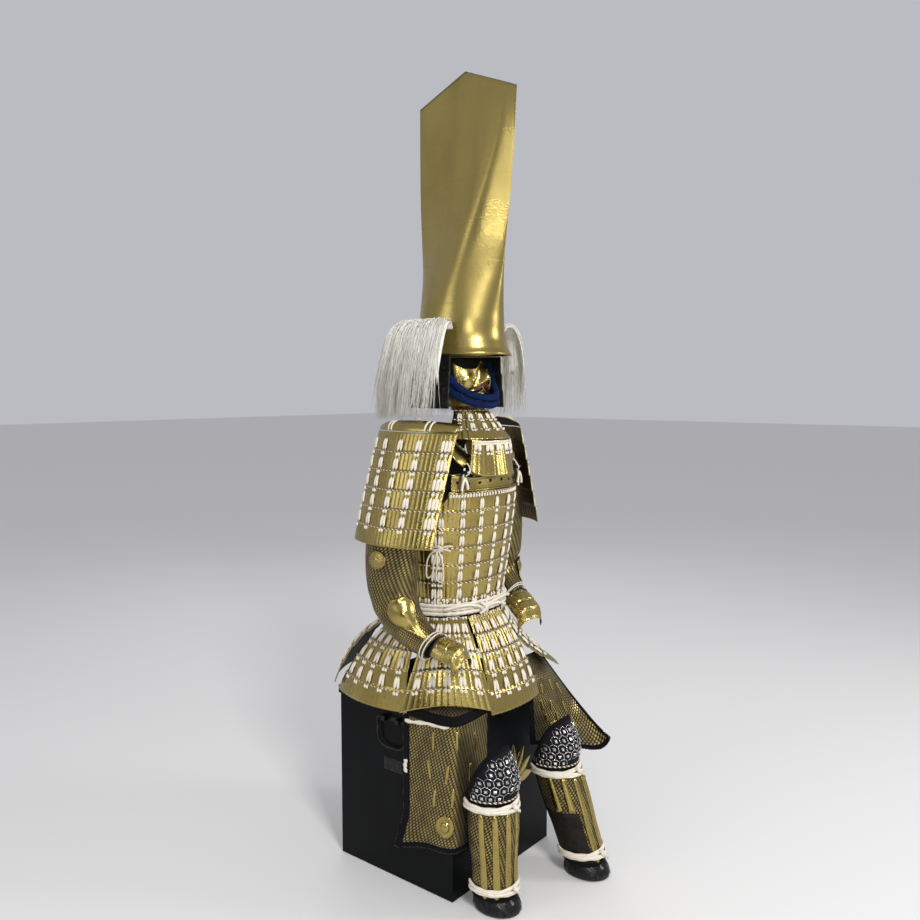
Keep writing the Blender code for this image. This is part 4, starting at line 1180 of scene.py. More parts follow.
def tasset_surface(row):
    """A tasset: ruled from an arc of the waist down to its own curved foot, with an outward swell."""
    facing = math.radians(row.facing)
    out = np.array([math.sin(facing), -math.cos(facing), 0.0])
    along = np.array([math.cos(facing), math.sin(facing), 0.0])
    foot = np.array([row.foot_x, row.foot_y, row.foot_z])
    uneven = 0.9 if row.bulge < 0 else 0.0

    def surface(u, v):
        top = torso(row.around + u * row.spread, np.full_like(u, SKIRT_TOP_Z))
        reach = along * row.half_width * u[..., None] - out * (row.sag * u * u)[..., None]
        swell = (np.sin(np.pi * v) * row.bulge * (1 - uneven * u))[..., None]
        droop = np.array([0, 0, -1.0]) * (row.droop * u * u)[..., None]
        share = v[..., None]
        return top * (1 - share) + (foot + reach + droop) * share + (out + [0, 0, 0.7]) * swell

    return surface


def helmet_ring(turn, z, inset=0.0):
    """One section of the helmet: an oval at the bowl and, higher up, a kite that is widest near its front."""
    heights = column(HELMET, "z")
    half_width = smooth(z, heights, column(HELMET, "half_width")) - inset
    front = smooth(z, heights, column(HELMET, "front_y")) + inset
    rear = smooth(z, heights, column(HELMET, "rear_y")) - inset
    blade = smooth(z, heights, column(HELMET, "blade"))
    s = (1 - np.cos(turn)) / 2
    widest = 0.62 + 0.28 * ease((z - 1.50) / 0.48)
    to_rear = np.maximum(s / widest, 1e-6)
    to_front = np.maximum((1 - s) / (1 - widest), 1e-6)
    kite = (to_rear ** -5.0 + to_front ** -5.0) ** (-1 / 5) * 1.13
    share = (1 - blade) * np.abs(np.sin(turn)) + blade * np.minimum(kite, 1.0)
    return stack(-half_width * share * np.sign(np.sin(turn)), rear + (front - rear) * s, z)


def neck_guard_surface(u, v):
    z = HELMET[0].z - 0.0012 + (NECK_GUARD_FOOT_Z - HELMET[0].z) * v
    return oval(180.0 + u * 110.0, 0.112 + 0.014 * v, 0.142 + 0.010 * v, HELMET_MID_Y, z, 1.0)


HAIR_PROFILE = np.array(
    [(0.0130, 1.452), (0.030, 1.470), (0.056, 1.468), (0.080, 1.438), (0.098, 1.385), (0.107, 1.325),
     (0.109, 1.234)]
)


def hair_surface(u, v):
    """The hair: it rises from the bowl, turns over and falls in shallow locks, swept back from the face."""
    key = np.linspace(0, 1, len(HAIR_PROFILE))
    out = smooth(v, key, HAIR_PROFILE[:, 0])
    z = smooth(v, key, HAIR_PROFILE[:, 1])
    lock = np.cos(u * math.pi * 15) * (0.0022 + 0.0040 * v) + np.cos(u * math.pi * 6.7 + 1.0) * 0.0030
    z = z - 0.13 * np.clip(v - 1, 0, None)
    around = 180.0 + u * (114.0 - 7.0 * np.clip(v, 0, 1.1) ** 2)
    return oval(around, 0.103 + out + lock, 0.126 + out + lock, HELMET_MID_Y, z, 1.0)


def mask_surface(u, v):
    """The half mask: an oval of jaw and cheeks with a nose, cheek bones, lips, creases and a jutting chin."""
    side = np.abs(u)
    bridge = hump(u, 0.10)
    top = MASK_TOP_Z + 0.021 * bridge + 0.018 * ease((side - 0.45) / 0.5)
    z = top + (MASK_FOOT_Z - top) * v
    depth = smooth(v, [0, 0.35, 0.7, 0.88, 1.0], [0.0600, 0.0660, 0.0660, 0.0680, 0.0560])
    width = smooth(v, [0, 0.4, 0.75, 1.0], [0.0745, 0.0750, 0.0680, 0.0540])
    nose = 0.024 * hump(u, 0.09 + 0.10 * v) * ease(v / 0.36) * ease((0.46 - v) / 0.10)
    cheek = 0.007 * hump(side - 0.42, 0.17) * hump(v - 0.26, 0.14)
    lip = 0.005 * hump(u, 0.34) * hump(v - 0.45, 0.05)
    chin = 0.006 * hump(u, 0.25) * hump(v - 0.86, 0.10)
    fold = side - 0.20 - 0.55 * (v - 0.25)
    along_fold = ease((v - 0.2) / 0.1) * ease((0.8 - v) / 0.2)
    crease = (0.0016 * hump(fold - 0.09, 0.05) - 0.0022 * hump(fold, 0.035)) * along_fold
    wing = 0.004 * hump(side - 0.13, 0.05) * hump(v - 0.36, 0.06)
    swell = nose + cheek + lip + chin + crease + wing
    return oval(u * 88.0, width + swell * 0.5, depth + swell, -0.062, z, 1.0)


def throat_surface(u, v):
    flare = np.clip(v, 0, 1) ** 1.2
    z = THROAT_TOP_Z + (THROAT_FOOT_Z - THROAT_TOP_Z) * v
    return oval(u * (80.0 - 6.0 * v), 0.058 + 0.054 * flare, 0.064 + 0.064 * flare, NECK_Y, z, 1.0)


def throat_flap_surface(u, v):
    z = FLAP_TOP_Z + (FLAP_FOOT_Z + 0.016 * u ** 6 - FLAP_TOP_Z) * v
    return oval(u * (44.0 + 7 * v), 0.1140, 0.1220 + 0.018 * v, NECK_Y, z, 1.0)


def sleeve_surface(arm):
    """A sleeve: ovals carried along the arm, each leaned by its own angle. u runs round it from its front."""

    def surface(u, v):
        turn = (u + 1) * math.pi
        key = np.linspace(0, 1, len(arm.rings))
        x, y, z, half_width, half_depth, lean = (smooth(v, key, column(arm.rings, f)) for f in Ring._fields)
        lean = np.radians(lean)
        across = half_width * np.sin(turn)
        ahead = -half_depth * np.cos(turn)
        return stack(arm.sign * (x - across), y + ahead * np.cos(lean), z + ahead * np.sin(lean))

    return surface


def around_arm(degrees):
    """The sleeve's u at an angle about the arm."""
    return (degrees / 180.0) % 2.0 - 1.0


def elbow_surface(arm):
    """A domed plate riding on the elbow, drawn out to a rounded tail down the forearm."""
    sleeve = sleeve_surface(arm)

    def surface(u, v):
        width = smooth(v, [0, 0.12, 0.32, 0.52, 0.75, 1.0], [0.35, 0.88, 1.0, 0.68, 0.34, 0.14])
        dome = 0.010 * hump(u, 0.75) * hump(v - 0.33, 0.22)
        around = around_arm(-45.0 + u * 36.0 * width)
        return lifted(sleeve, around, 0.61 + 0.34 * v, -arm.sign * (0.0042 + dome))

    return surface


def hand_guard_surface(arm):
    """The plate over the back of the hand: an arch that widens at the knuckles and curls down at its end."""
    start, end = np.array(arm.hand_start), np.array(arm.hand_end)
    along = unit(end - start)
    level = unit(np.cross(along, (0.0, 0.0, 1.0)))
    up = np.cross(level, along)

    def surface(u, v):
        angle = np.radians(u * 98.0)
        width = 0.0385 + 0.006 * np.sin(np.pi * np.clip(v, 0, 1))
        rise = (0.036 - 0.004 * v) * np.cos(angle) - 0.020 * ease((v - 0.72) / 0.28)
        place = start + (end - start) * v[..., None]
        return place + level * (width * np.sin(angle))[..., None] + up * rise[..., None]

    return surface


THIGH_PLAN = (
    (-0.2400, -0.0560),
    (-0.2400, -0.0980),
    (-0.2400, -0.1450),
    (-0.2390, -0.1850),
    (-0.2280, -0.2150),
    (-0.1980, -0.2250),
    (-0.1550, -0.2235),
    (-0.1200, -0.2205),
    (-0.0900, -0.2190),
)
THIGH_DROP = (
    (0.0, 1.0, 0.4925), (0.08, 0.5, 0.4900), (0.14, 0.12, 0.4860), (0.20, 0.0, 0.4740), (1.0, 0.0, 0.1400),
)


def thigh_right_surface(u, v):
    """A panel draped over the chest's front right corner: straight under the skirt, and curved below."""
    key = np.linspace(-1, 1, len(THIGH_PLAN))
    plan = np.array(THIGH_PLAN)
    drop = np.array(THIGH_DROP)
    inside = smooth(v, drop[:, 0], drop[:, 1]) * (v < 0.2)
    z = np.interp(v, drop[:, 0], drop[:, 2]) + 0.012 * u * (v > 0.2) * v
    share = (u + 1) / 2
    chord_x = plan[0, 0] + (plan[-1, 0] - plan[0, 0]) * share
    chord_y = plan[0, 1] + (plan[-1, 1] - plan[0, 1]) * share
    x = smooth(u, key, plan[:, 0]) * (1 - inside) + chord_x * inside
    y = smooth(u, key, plan[:, 1]) * (1 - inside) + chord_y * inside
    flare = 0.016 * ease((v - 0.80) / 0.2) * ease((-0.5 - u) / 0.5)
    return stack(x - flare, y + flare, z - flare)


def thigh_left_surface(u, v):
    """A panel from the lap down behind the left knee and out past it, with a rounded outer corner."""
    inner = stack(0.080 + 0.020 * v, -0.160 - 0.060 * ease(v / 0.25), 0.546 - 0.228 * v)
    outer = stack(0.2450 + 0.085 * v, -0.146 - 0.209 * v, 0.537 - 0.291 * v)
    share = ((u + 1) / 2)[..., None]
    corner = 0.060 * np.clip(u, 0, 1) ** 5 * np.clip(v, 0, 1) ** 3
    belly = 0.018 * np.sin(np.pi * (u + 1) / 2) * np.cos(np.pi * np.clip(v * 1.1 - 0.1, 0, 1))
    return inner * (1 - share) + outer * share + stack(-0.4 * corner, -belly, corner + 0.4 * np.abs(belly))


def leg_centre(leg, z):
    share = (SHIN_TOP_Z - z) / (SHIN_TOP_Z - SHIN_FOOT_Z)
    return leg.top_x + (leg.foot_x - leg.top_x) * share, leg.top_y + (leg.foot_y - leg.top_y) * share


def shin_surface(leg, out=0.0):
    def surface(u, v):
        z = SHIN_TOP_Z + (SHIN_FOOT_Z - SHIN_TOP_Z) * v
        x, y = leg_centre(leg, z)
        radius = 0.0610 - 0.0060 * v + 0.0040 * np.sin(np.pi * np.clip(v * 1.5, 0, 1)) + out
        angle = np.radians(u * 130.0)
        return stack(x + radius * np.sin(angle), y - radius * 1.04 * np.cos(angle), z)

    return surface


def knee_surface(leg):
    """The knee guard: a curved shield over the knee, tall in front and sloping down to its sides."""

    def surface(u, v):
        top = KNEE_TOP_Z - 0.100 * np.abs(u) ** 2.2
        z = top + (SHIN_TOP_Z + 0.0003 - top) * v
        x, y = leg_centre(leg, SHIN_TOP_Z)
        below = np.clip((KNEE_TOP_Z - z) / (KNEE_TOP_Z - SHIN_TOP_Z), 0, 1)
        radius = 0.0610 + 0.010 * np.sin(np.pi * below * 0.9)
        back = 0.030 * ease((z - SHIN_TOP_Z - 0.03) / 0.09)
        angle = np.radians(u * 104.0)
        return stack(x + radius * np.sin(angle), y - radius * 1.04 * np.cos(angle) + back, z)

    return surface


def shoe_surface(leg):
    """A short rounded boot: rings from its ankle opening out over the toe to the flat sole."""

    def surface(u, v):
        turn = (u + 1) * math.pi
        share = np.sin(np.clip(v, 0, 1) * math.pi / 2)
        z = 0.046 * (1 - np.clip(v, 0, 1) ** 1.2) * 0.96 + 0.0015
        length = 0.042 + 0.021 * share
        width = 0.0399 + 0.0113 * share
        y = leg.foot_y + 0.004 - 0.014 * share
        return stack(leg.foot_x + width * np.sin(turn), y - length * np.cos(turn), z)

    return surface


# One operator for each group of pieces


class ArmourOperator(bpy.types.Operator):
    """Base of the operators: runs the piece's own make method."""

    bl_idname = "armour.base"
    bl_label = "Armour piece"

    def execute(self, context):
        self.make(context.scene.armour_sizes)
        return {"FINISHED"}

    def make(self, sizes):
        raise NotImplementedError


class ARMOUR_OT_stage(ArmourOperator):
    """Camera, studio lights and pale floor"""

    bl_idname = "armour.stage"
    bl_label = "Stage"

    def make(self, sizes):
        camera = bpy.data.objects.new("camera", bpy.data.cameras.new("camera"))
        bpy.context.scene.collection.objects.link(camera)
        bpy.context.scene.camera = camera
        focal_share = 886.0 / 920.0
        camera.data.sensor_width = 36.0
        camera.data.lens = 36.0 * focal_share
        pitch, turn = math.radians(4.7), math.radians(51.0)
        look = Vector((math.sin(turn) * math.cos(pitch), math.cos(turn) * math.cos(pitch), -math.sin(pitch)))
        camera.location = (-1.868, -1.563, 1.30)
        camera.rotation_mode = "QUATERNION"
        camera.rotation_quaternion = look.to_track_quat("-Z", "Y")
        camera.data.clip_start = 0.05
        far = 30.0
        self.card("floor", [(x * far, y * far, -0.0015) for x, y in ((-1, -1), (1, -1), (1, 1), (-1, 1))])
        behind = camera.location - 0.95 * look
        across = 1.7 * Vector((-math.cos(turn), math.sin(turn), 0.0))
        corners = [behind + across, behind - across]
        rows = ((0.0, corners), (2.3, corners[::-1]))
        self.card("dark_card", [(x, y, z) for z, row in rows for x, y, _ in row])
        lights = (
            ("key", (-1.7, -2.7, 3.3), 0.7, 85.0),
            ("fill", (2.0, -2.9, 2.1), 0.9, 34.0),
            ("side", (-3.2, 1.2, 2.2), 1.6, 12.0),
            ("rim", (2.4, 2.6, 3.0), 1.6, 18.0),
            ("low", (-1.6, -2.6, 0.6), 1.4, 8.0),
            ("near", (-2.42, -1.93, 1.56), 0.50, 15.0),
        )
        for name, place, size, power in lights:
            lamp = bpy.data.lights.new(name, "AREA")
            lamp.size = size
            lamp.energy = power
            lit = bpy.data.objects.new(name, lamp)
            lit.location = place
            lit.rotation_mode = "QUATERNION"
            lit.rotation_quaternion = (Vector((0, 0, 1.0)) - Vector(place)).to_track_quat("-Z", "Y")
            bpy.context.scene.collection.objects.link(lit)
        world = bpy.data.worlds.new("studio")
        world.use_nodes = True
        world.node_tree.nodes["Background"].inputs["Color"].default_value = (0.80, 0.81, 0.87, 1.0)
        world.node_tree.nodes["Background"].inputs["Strength"].default_value = 0.62
        bpy.context.scene.world = world
        bpy.context.scene.view_settings.view_transform = "Standard"

    def card(self, name, corners):
        """A flat card: the floor, or the dark one behind the camera that the gilding mirrors."""
        mesh = bpy.data.meshes.new(name)
        mesh.from_pydata(corners, [], [(0, 1, 2, 3)])
        mesh.materials.append(painted(name))
        card = bpy.data.objects.new(name, mesh)
        bpy.context.scene.collection.objects.link(card)
        card.visible_camera = name == "floor"
        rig.stage(card)


class ARMOUR_OT_cuirass(ArmourOperator):
    """Breast and back lames, their plates, lacing and edge cords"""

    bl_idname = "armour.cuirass"
    bl_label = "Cuirass"

    def make(self, sizes):
        height = CHEST_LINE_Z - WAIST_Z
        inner = np.array([-62.0, -38.0, -17.0, 0.0, 17.0, 38.0, 62.0]) / FULL_REACH
        columns = np.concatenate([[-0.775], inner, [0.775]])
        parts = (
            ("cuirass_front", breast_surface, 0.0, 0.0, BREAST_CUT),
            ("cuirass_back", back_surface, 180.0, BACK_RISE, BACK_CUT),
        )
        for name, surface, middle, rise, armhole in parts:
            foot = WAIST_Z - CHEST_LINE_Z - rise

            def upright(u, v, middle=middle, rise=rise, foot=foot):
                return torso(middle + u * FULL_REACH, CHEST_LINE_Z + rise + foot * v)

            def full(v, rise=rise, foot=foot, armhole=armhole):
                """The share of the half circle that the lames cover at v: less beside the armholes."""
                cut = ease((CHEST_LINE_Z + rise + foot * v - SIDE_TOP_Z) / (CHEST_LINE_Z - SIDE_TOP_Z))
                return (FULL_REACH - armhole * cut) / FULL_REACH

            def narrow(v, full=full):
                return full(v) - 0.035

            laced_wall(name, surface, CUIRASS_LAMES, height, reach=full)
            edge_cords(name + "_cords", surface, CUIRASS_LAMES, height)
            laces(name + "_laces", upright, CUIRASS_LAMES, height, columns=columns, reach=narrow,
                  width=0.0066)
            self.head_laces(name + "_head_laces", surface)
        self.plate("breast_plate", breast_plate_surface)
        self.plate("back_plate", back_plate_surface)
        self.suspension()
        self.side_tie()

    def head_laces(self, name, surface):
        """A close row of short plump laces on the first lame, just under the plate."""
        t = np.linspace(0, 1, 6)[None]
        plump = rounded(t, 6)
        places = np.linspace(-0.95, 0.95, 34)[:, None]
        laid = strands_on(surface, places, (0.10 + 0.20 * t) / CUIRASS_LAMES, LAME_STEP + 0.0012, 1.0,
                          0.0032 * plump, 0.0017 * plump)
        joined(name, [laid], "braid")

    def plate(self, name, surface):
        """A plain gilt band with a rolled top edge, a twisted lower edge and dark eyelets."""
        u, v = spread(19, 90)
        wall(name, lifted(surface, u, v, 0.0016 * hump(v - 0.06, 0.06)), "gold")
        line = np.linspace(-0.985, 0.985, 150)[None]
        edge = strands_on(surface, line, 0.93, 0.0016, 1.0, 0.0020, 0.0020, lobes=2, twist=WHOLE / 0.011)
        joined(name + "_edge", [edge], "gold")
        places = [(x, 0.45) for x in np.linspace(-0.86, 0.86, 8)]
        studs(name + "_eyelets", surface, places, 0.0046, 0.0012, "lacquer", "black_iron")

    def suspension(self):
        """Flat laces that hang the skirt from the cuirass, above and below the waist cord."""
        angle = (np.arange(-174, 180, 12.0)[:, None] + [-1.9, 1.9]).reshape(-1, 1)
        t = np.linspace(0, 1, 9)[None]
        for place, top, foot, out in (("upper", 0.7490, 0.7370, 0.0046), ("lower", 0.6990, 0.6810, 0.0052)):
            z = top + (foot - top) * t + 0 * angle
            bow = out + 0.0016 * np.sin(np.pi * t)
            centre = torso(angle, z, bow)
            normal = unit(centre - torso(angle, z, bow - 0.01))
            tubes("waist_laces_" + place, centre, normal, 0.0029, 0.0013, "braid")

    def side_tie(self):
        """The white knot that closes the right side: a cord from the armhole, two loops and two ends."""
        angles = np.array([-96.0, -84.0, -72.0, -64.0])
        for i, shift in enumerate((0.0, -0.007)):
            band = torso(angles, 0.886 + shift + 0.00015 * (angles + 96.0), 0.0075)
            free_cord(f"side_band_{i + 1}", band, 0.0021, middle=(0, -0.04, 0.88))
        routes = (
            ((-64, 0.886), (-56, 0.892), (-48, 0.893)),
            ((-64, 0.884), (-55, 0.884), (-50, 0.879)),
            ((-66, 0.884), (-74, 0.868), (-78, 0.835), (-76, 0.806), (-72, 0.812), (-69, 0.845),
             (-65, 0.880)),
            ((-64, 0.884), (-60, 0.862), (-58, 0.830), (-60, 0.795), (-64, 0.800), (-65, 0.840),
             (-65, 0.880)),
            ((-67, 0.890), (-64, 0.893), (-61, 0.888), (-63, 0.879), (-67, 0.880)),
        )
        for i, route in enumerate(routes):
            angle, z = np.array(route).T
            free_cord(f"side_tie_{i + 1}", torso(angle, z, 0.0095), 0.0022, middle=(0, -0.04, 0.86))


class ARMOUR_OT_skirt(ArmourOperator):
    """Seven tassets with their lacing, and the twisted waist cord with its knot"""

    bl_idname = "armour.skirt"
    bl_label = "Skirt"

    def make(self, sizes):
        for row in TASSETS:
            surface = tasset_surface(row)
            name = "tasset_" + row.name
            laced_wall(name, surface, TASSET_LAMES, TASSET_HEIGHT)
            laces(name + "_laces", surface, TASSET_LAMES, TASSET_HEIGHT)
            edge_cords(name + "_cords", surface, TASSET_LAMES, TASSET_HEIGHT)
        around = np.linspace(0, 360, 340, endpoint=False)
        for i, (z, out) in enumerate(((0.7300, 0.0086), (0.7195, 0.0088), (0.7085, 0.0086))):
            path = torso(around, z + 0.003 * np.cos(np.radians(around)), out)
            closed_cord(f"waist_cord_{i + 1}", path, 0.0048)
        self.knot()

    def knot(self):
        """The waist cord's front knot: two crossing turns, and two ends that lie along the waist."""
        middle = torso(np.array(-8.0), np.array(0.718), 0.017)
        route = ((-0.013, 0.005, 0.016), (-0.005, -0.003, 0.008), (0.004, -0.004, -0.006),
                 (0.011, 0.005, -0.016))
        for i, hand in enumerate((-1.0, 1.0)):
            places = [middle + np.array([hand * x, y - 0.002 * i, z]) for x, y, z in route]
            self.rope_end(f"waist_turn_{i + 1}", places)
        for i, ends in enumerate((((-10, 0.722), (4, 0.731), (20, 0.733), (34, 0.728), (46, 0.719)),
                                  ((-12, 0.715), (2, 0.722), (14, 0.716), (24, 0.706)),
                                  ((-10, 0.719), (-24, 0.731), (-40, 0.731), (-56, 0.722)))):
            angle, z = np.array(ends).T
            self.rope_end(f"waist_end_{i + 1}", torso(angle, z, 0.0185 - 0.0010 * i))

    def rope_end(self, name, places):
        free_cord(name, places, 0.0040, middle=(0, 0.1, 0.72), twist=285.0, swell=0.15, **THREE_PLY)


class ARMOUR_OT_shoulders(ArmourOperator):
    """Straps, collar, shoulder guards with their crowns, and the cords between them"""

    bl_idname = "armour.shoulders"
    bl_label = "Shoulders"

    def make(self, sizes):
        for side, sign in (("right", -1.0), ("left", 1.0)):
            self.strap(side, sign)
        u, v = spread(14, 90)
        wall("neck_collar", lifted(collar_surface, u, v, 0.0010 * hump(v - 0.07, 0.05)), "gold")
        line = np.linspace(-0.97, 0.97, 120)[None]
        bead = strands_on(collar_surface, line, 0.10, 0.0014, 1.0, 0.0015, 0.0015, **TWO_PLY)
        joined("neck_collar_cord", [bead], "edge_cord")
        for arm in ARMS:
            self.guard(arm)

    def strap(self, side, sign):
        surface = strap_surface(sign)
        name = "shoulder_strap_" + side
        u, v = spread(60, 23)
        ridge = 0.0006 * np.abs(np.sin(u * math.pi * 5)) ** 0.5
        wall(name, lifted(surface, u, v, -sign * ridge), "gold", flip=sign > 0)
        line = np.linspace(0.02, 0.82, 90)[None]
        sides = np.array([[0.93], [-0.93]])
        edge = strands_on(surface, sides, line, -sign * 0.0012, -sign, 0.0015, 0.0013, **TWO_PLY)
        joined(name + "_edges", [edge], "edge_cord")
        self.fastening(side, sign)

    def fastening(self, side, sign):
        """A loop over a black toggle with a silver head, a cord down to the plate, and two tassels."""
        routes = (
            ("strap_cord_", 0.0026, (0.1130, -0.1570, 1.0940), (0.1200, -0.1580, 1.0720),
             (0.1230, -0.1580, 1.0500), (0.1230, -0.1575, 1.0300)),
            ("strap_loop_", 0.0020, (0.1020, -0.1560, 1.1060), (0.1030, -0.1665, 1.0930),
             (0.1080, -0.1690, 1.0820), (0.1125, -0.1605, 1.0740)),
            ("strap_tassel_near_", 0.0036, (0.1190, -0.1620, 1.0700), (0.1130, -0.1650, 1.0560),
             (0.1090, -0.1650, 1.0400)),
            ("strap_tassel_far_", 0.0036, (0.1200, -0.1620, 1.0700), (0.1280, -0.1630, 1.0540),
             (0.1310, -0.1620, 1.0380)),
        )
        for name, radius, *route in routes:
            places = [(sign * x, y, z) for x, y, z in route]
            free_cord(name + side, places, radius, middle=(0, 0, 1.06))
        across = np.linspace(-1, 1, 12)
        peg = stack(sign * (0.112 + 0.018 * across), -0.1635 + 0.0035 * across ** 2, 1.084)[None]
        fat = 0.0046 * rounded(np.linspace(0, 1, 12), 4, 0.06)[None]
        facing = np.broadcast_to([0.0, -1.0, 0.0], peg.shape)
        tubes(f"strap_toggle_{side}", peg, facing, fat, fat, "lacquer", sides=10)
        head = stack(sign * 0.112, -0.1670 - np.array([0.0, 0.0016, 0.0028]), 1.084)[None]
        facing = np.broadcast_to([0.0, 0.0, 1.0], head.shape)
        size = np.array([[0.0034, 0.0030, 0.0012]])
        tubes(f"strap_toggle_head_{side}", head, facing, size, size, "silver", "black_lacquer")

    def guard(self, arm):
        surface = sode_surface(arm)
        step = LAME_STEP * -arm.sign
        name = "shoulder_guard_" + arm.side
        # The guard's inside takes a darker, browner copy of the gold: painted shade for the hollow side.
        laced_wall(name, surface, SODE_LAMES, SODE_HEIGHT, step, flip=arm.sign > 0, inside="inner_gold")
        laces(name + "_laces", surface, SODE_LAMES, SODE_HEIGHT, step, columns=(-0.94, -0.50, -0.06, 0.35))
        edge_cords(name + "_cords", surface, SODE_LAMES, SODE_HEIGHT, step, first=1)
        self.front_column(name, surface, step)
        crown = crown_surface(arm)
        u, v = spread(20, 60)
        rolled = lifted(crown, u, v, -arm.sign * 0.0010 * hump(v - 0.06, 0.05))
        wall("guard_crown_" + arm.side, rolled, "gold", flip=arm.sign > 0)
        self.crown_cords(arm, crown)
        edge = placed(arm, -0.024, 0.020, arm.guard_z + 0.0338)
        strap = np.array([arm.sign * 0.118, -0.045, 1.1840])
        middle = (edge + strap) / 2 + np.array([0.0, 0.0, 0.004])
        free_cord("guard_cord_" + arm.side, [edge, middle, strap], 0.0026, count=16)

    def front_column(self, name, surface, step):
        """The front edge's lacing: three laces side by side over each lame, with two knots below."""
        side = np.sign(step)
        t = np.linspace(0, 1, 8)[None]
        plump = rounded(t, 7)
        pieces = []
        for columns, top, foot in (((0.795, 0.857, 0.919), 0.38, 1.00), ((0.820, 0.894), 1.10, 1.27)):
            rows, places = (a.ravel()[:, None] for a in np.meshgrid(np.arange(SODE_LAMES - 1), columns))
            v = (rows + top + (foot - top) * t) / SODE_LAMES
            lift = lame_lift(v, SODE_LAMES, SODE_HEIGHT, step) + side * (0.0016 + 0.0014 * np.sin(np.pi * t))
            pieces.append(strands_on(surface, places, v, lift, side, 0.0042 * plump, 0.0021 * plump))
        joined(name + "_edge_laces", pieces, "braid")

    def crown_cords(self, arm, crown):
        """Two pairs of cord loops that hold the crown to the guard's first lame."""
        t = np.linspace(0, 1, 10)[None]
        bow = np.sin(np.pi * t)
        middles = np.array([[-0.50], [-0.40], [0.40], [0.50]])
        loops = strands_on(crown, middles + 0.012 * bow, 0.20 + 0.76 * t, -arm.sign * (0.0020 + 0.0030 * bow),
                           -arm.sign, 0.0024, 0.0020)
        joined(f"crown_loops_{arm.side}", [loops], "rope")


class ARMOUR_OT_helmet(ArmourOperator):
    """Helmet, neck guard and hair"""

    bl_idname = "armour.helmet"
    bl_label = "Helmet"

    def make(self, sizes):
        self.bowl()
        u, v = spread(34, 132)
        scale = 0.0004 * np.abs(np.sin(u * 60)) ** 0.4
        lift = lame_lift(v, NECK_LAMES, NECK_GUARD_HEIGHT, LAME_STEP) + scale
        wall("neck_guard", lifted(neck_guard_surface, u, v, lift), "iron")
        columns = lace_places(neck_guard_surface)[3:-3]
        laces("neck_guard_laces", neck_guard_surface, NECK_LAMES, NECK_GUARD_HEIGHT, columns=columns)
        self.hair(sizes)

    def bowl(self):
        """Rings from the peaked top edge down to the rim, over it, and up inside the bowl to its crown."""
        columns, outer, inner = 116, 90, 16
        turn = np.linspace(0, WHOLE, columns, endpoint=False)
        down = np.linspace(0, 1, outer)[:, None] ** 0.9
        z = HELMET[-1].z + (HELMET[0].z - HELMET[-1].z) * down + 0 * turn
        skin = helmet_ring(turn + 0 * z, z)
        peak = 1 - np.abs(-np.cos(turn))
        skin[..., 2] += HELMET_PEAK * peak * ease((z - 1.60) / (HELMET[-1].z - 1.60))
        middle = np.array([0.0, HELMET_MID_Y, 0.0])
        away = unit((skin - middle) * np.array([1.0, 1.0, 0.0]))
        rim = 0.0016 * hump(z - 1.3875, 0.0030) + 0.0010 * hump(z - 1.412, 0.0016)
        skin = skin + away * rim[..., None]
        t = np.linspace(0, 1, inner)[:, None] * math.pi * 0.46
        z_in = HELMET[0].z + (DOME_TOP_Z - HELMET[0].z) * np.sin(t) + 0 * turn
        bowl = helmet_ring(turn + 0 * z_in, z_in, HELMET_WALL)
        shrink = (np.cos(t) ** 0.6)[..., None]
        centre = stack(0.0, HELMET_MID_Y, z_in)
        bowl = centre + (bowl - centre) * shrink
        points = np.concatenate([skin, bowl])
        rows = len(points)
        faces = grid_faces(rows, columns, True).tolist()
        half = columns // 2
        for ring, flip in ((0, False), (rows - 1, True)):
            base = ring * columns
            for j in range(half):
                strip = [j, j + 1, (columns - j - 1) % columns, (columns - j) % columns]
                strip = list(dict.fromkeys(base + k for k in strip))
                if len(strip) > 2:
                    faces.append(strip[::-1] if flip else strip)
        add_mesh("helmet", points, faces, "helmet_gold")

    def hair(self, sizes):
        """A soft under-layer, and strands that follow it with their own waver, thickness and length."""
        u, v = spread(22, 180)
        ragged = 0.80 + 0.05 * np.sin(u * 61) * np.sin(u * 23 + 1) + 0.03 * np.sin(u * 190)
        under = lifted(hair_surface, u, v * ragged, -0.0055)
        base = wall("hair_base", under, "hair", 0.002, inside="hair")
        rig.replaces(base, "hair")
        draw = np.random.default_rng(7)
        each = (sizes.hair_strands, 1)
        t = np.linspace(0, 1, 8)[None]
        u0 = draw.uniform(-0.99, 0.99, each)
        start = draw.uniform(0.0, 0.30, each)
        end = draw.uniform(0.84, 1.12, each)
        v = start + (end - start) * t
        wave = draw.uniform(-0.020, 0.020, each) * t + draw.uniform(-0.006, 0.006, each) * np.sin(t * 9.0)
        u = np.clip(u0 + wave, -0.999, 0.999)
        lift = draw.uniform(-0.0075, 0.0022, each) + 0.0022 * np.sin(t * math.pi * draw.uniform(1, 3, each))
        thick = draw.uniform(0.0007, 0.0016, each) * (1 - 0.85 * t ** 2.5)
        normal = normals(hair_surface, u, v)
        centre = hair_surface(u, v) + normal * lift[..., None]
        stray = draw.uniform(-1, 1, (*each, 3)) * draw.choice([0.010, 0.024], (*each, 1), p=[0.8, 0.2])
        centre = centre + stray * (np.clip(t - 0.4, 0, 1) ** 2)[..., None] / 0.36
        tubes("hair_strands", centre, normal, thick, thick * 0.7, "hair", sides=3)


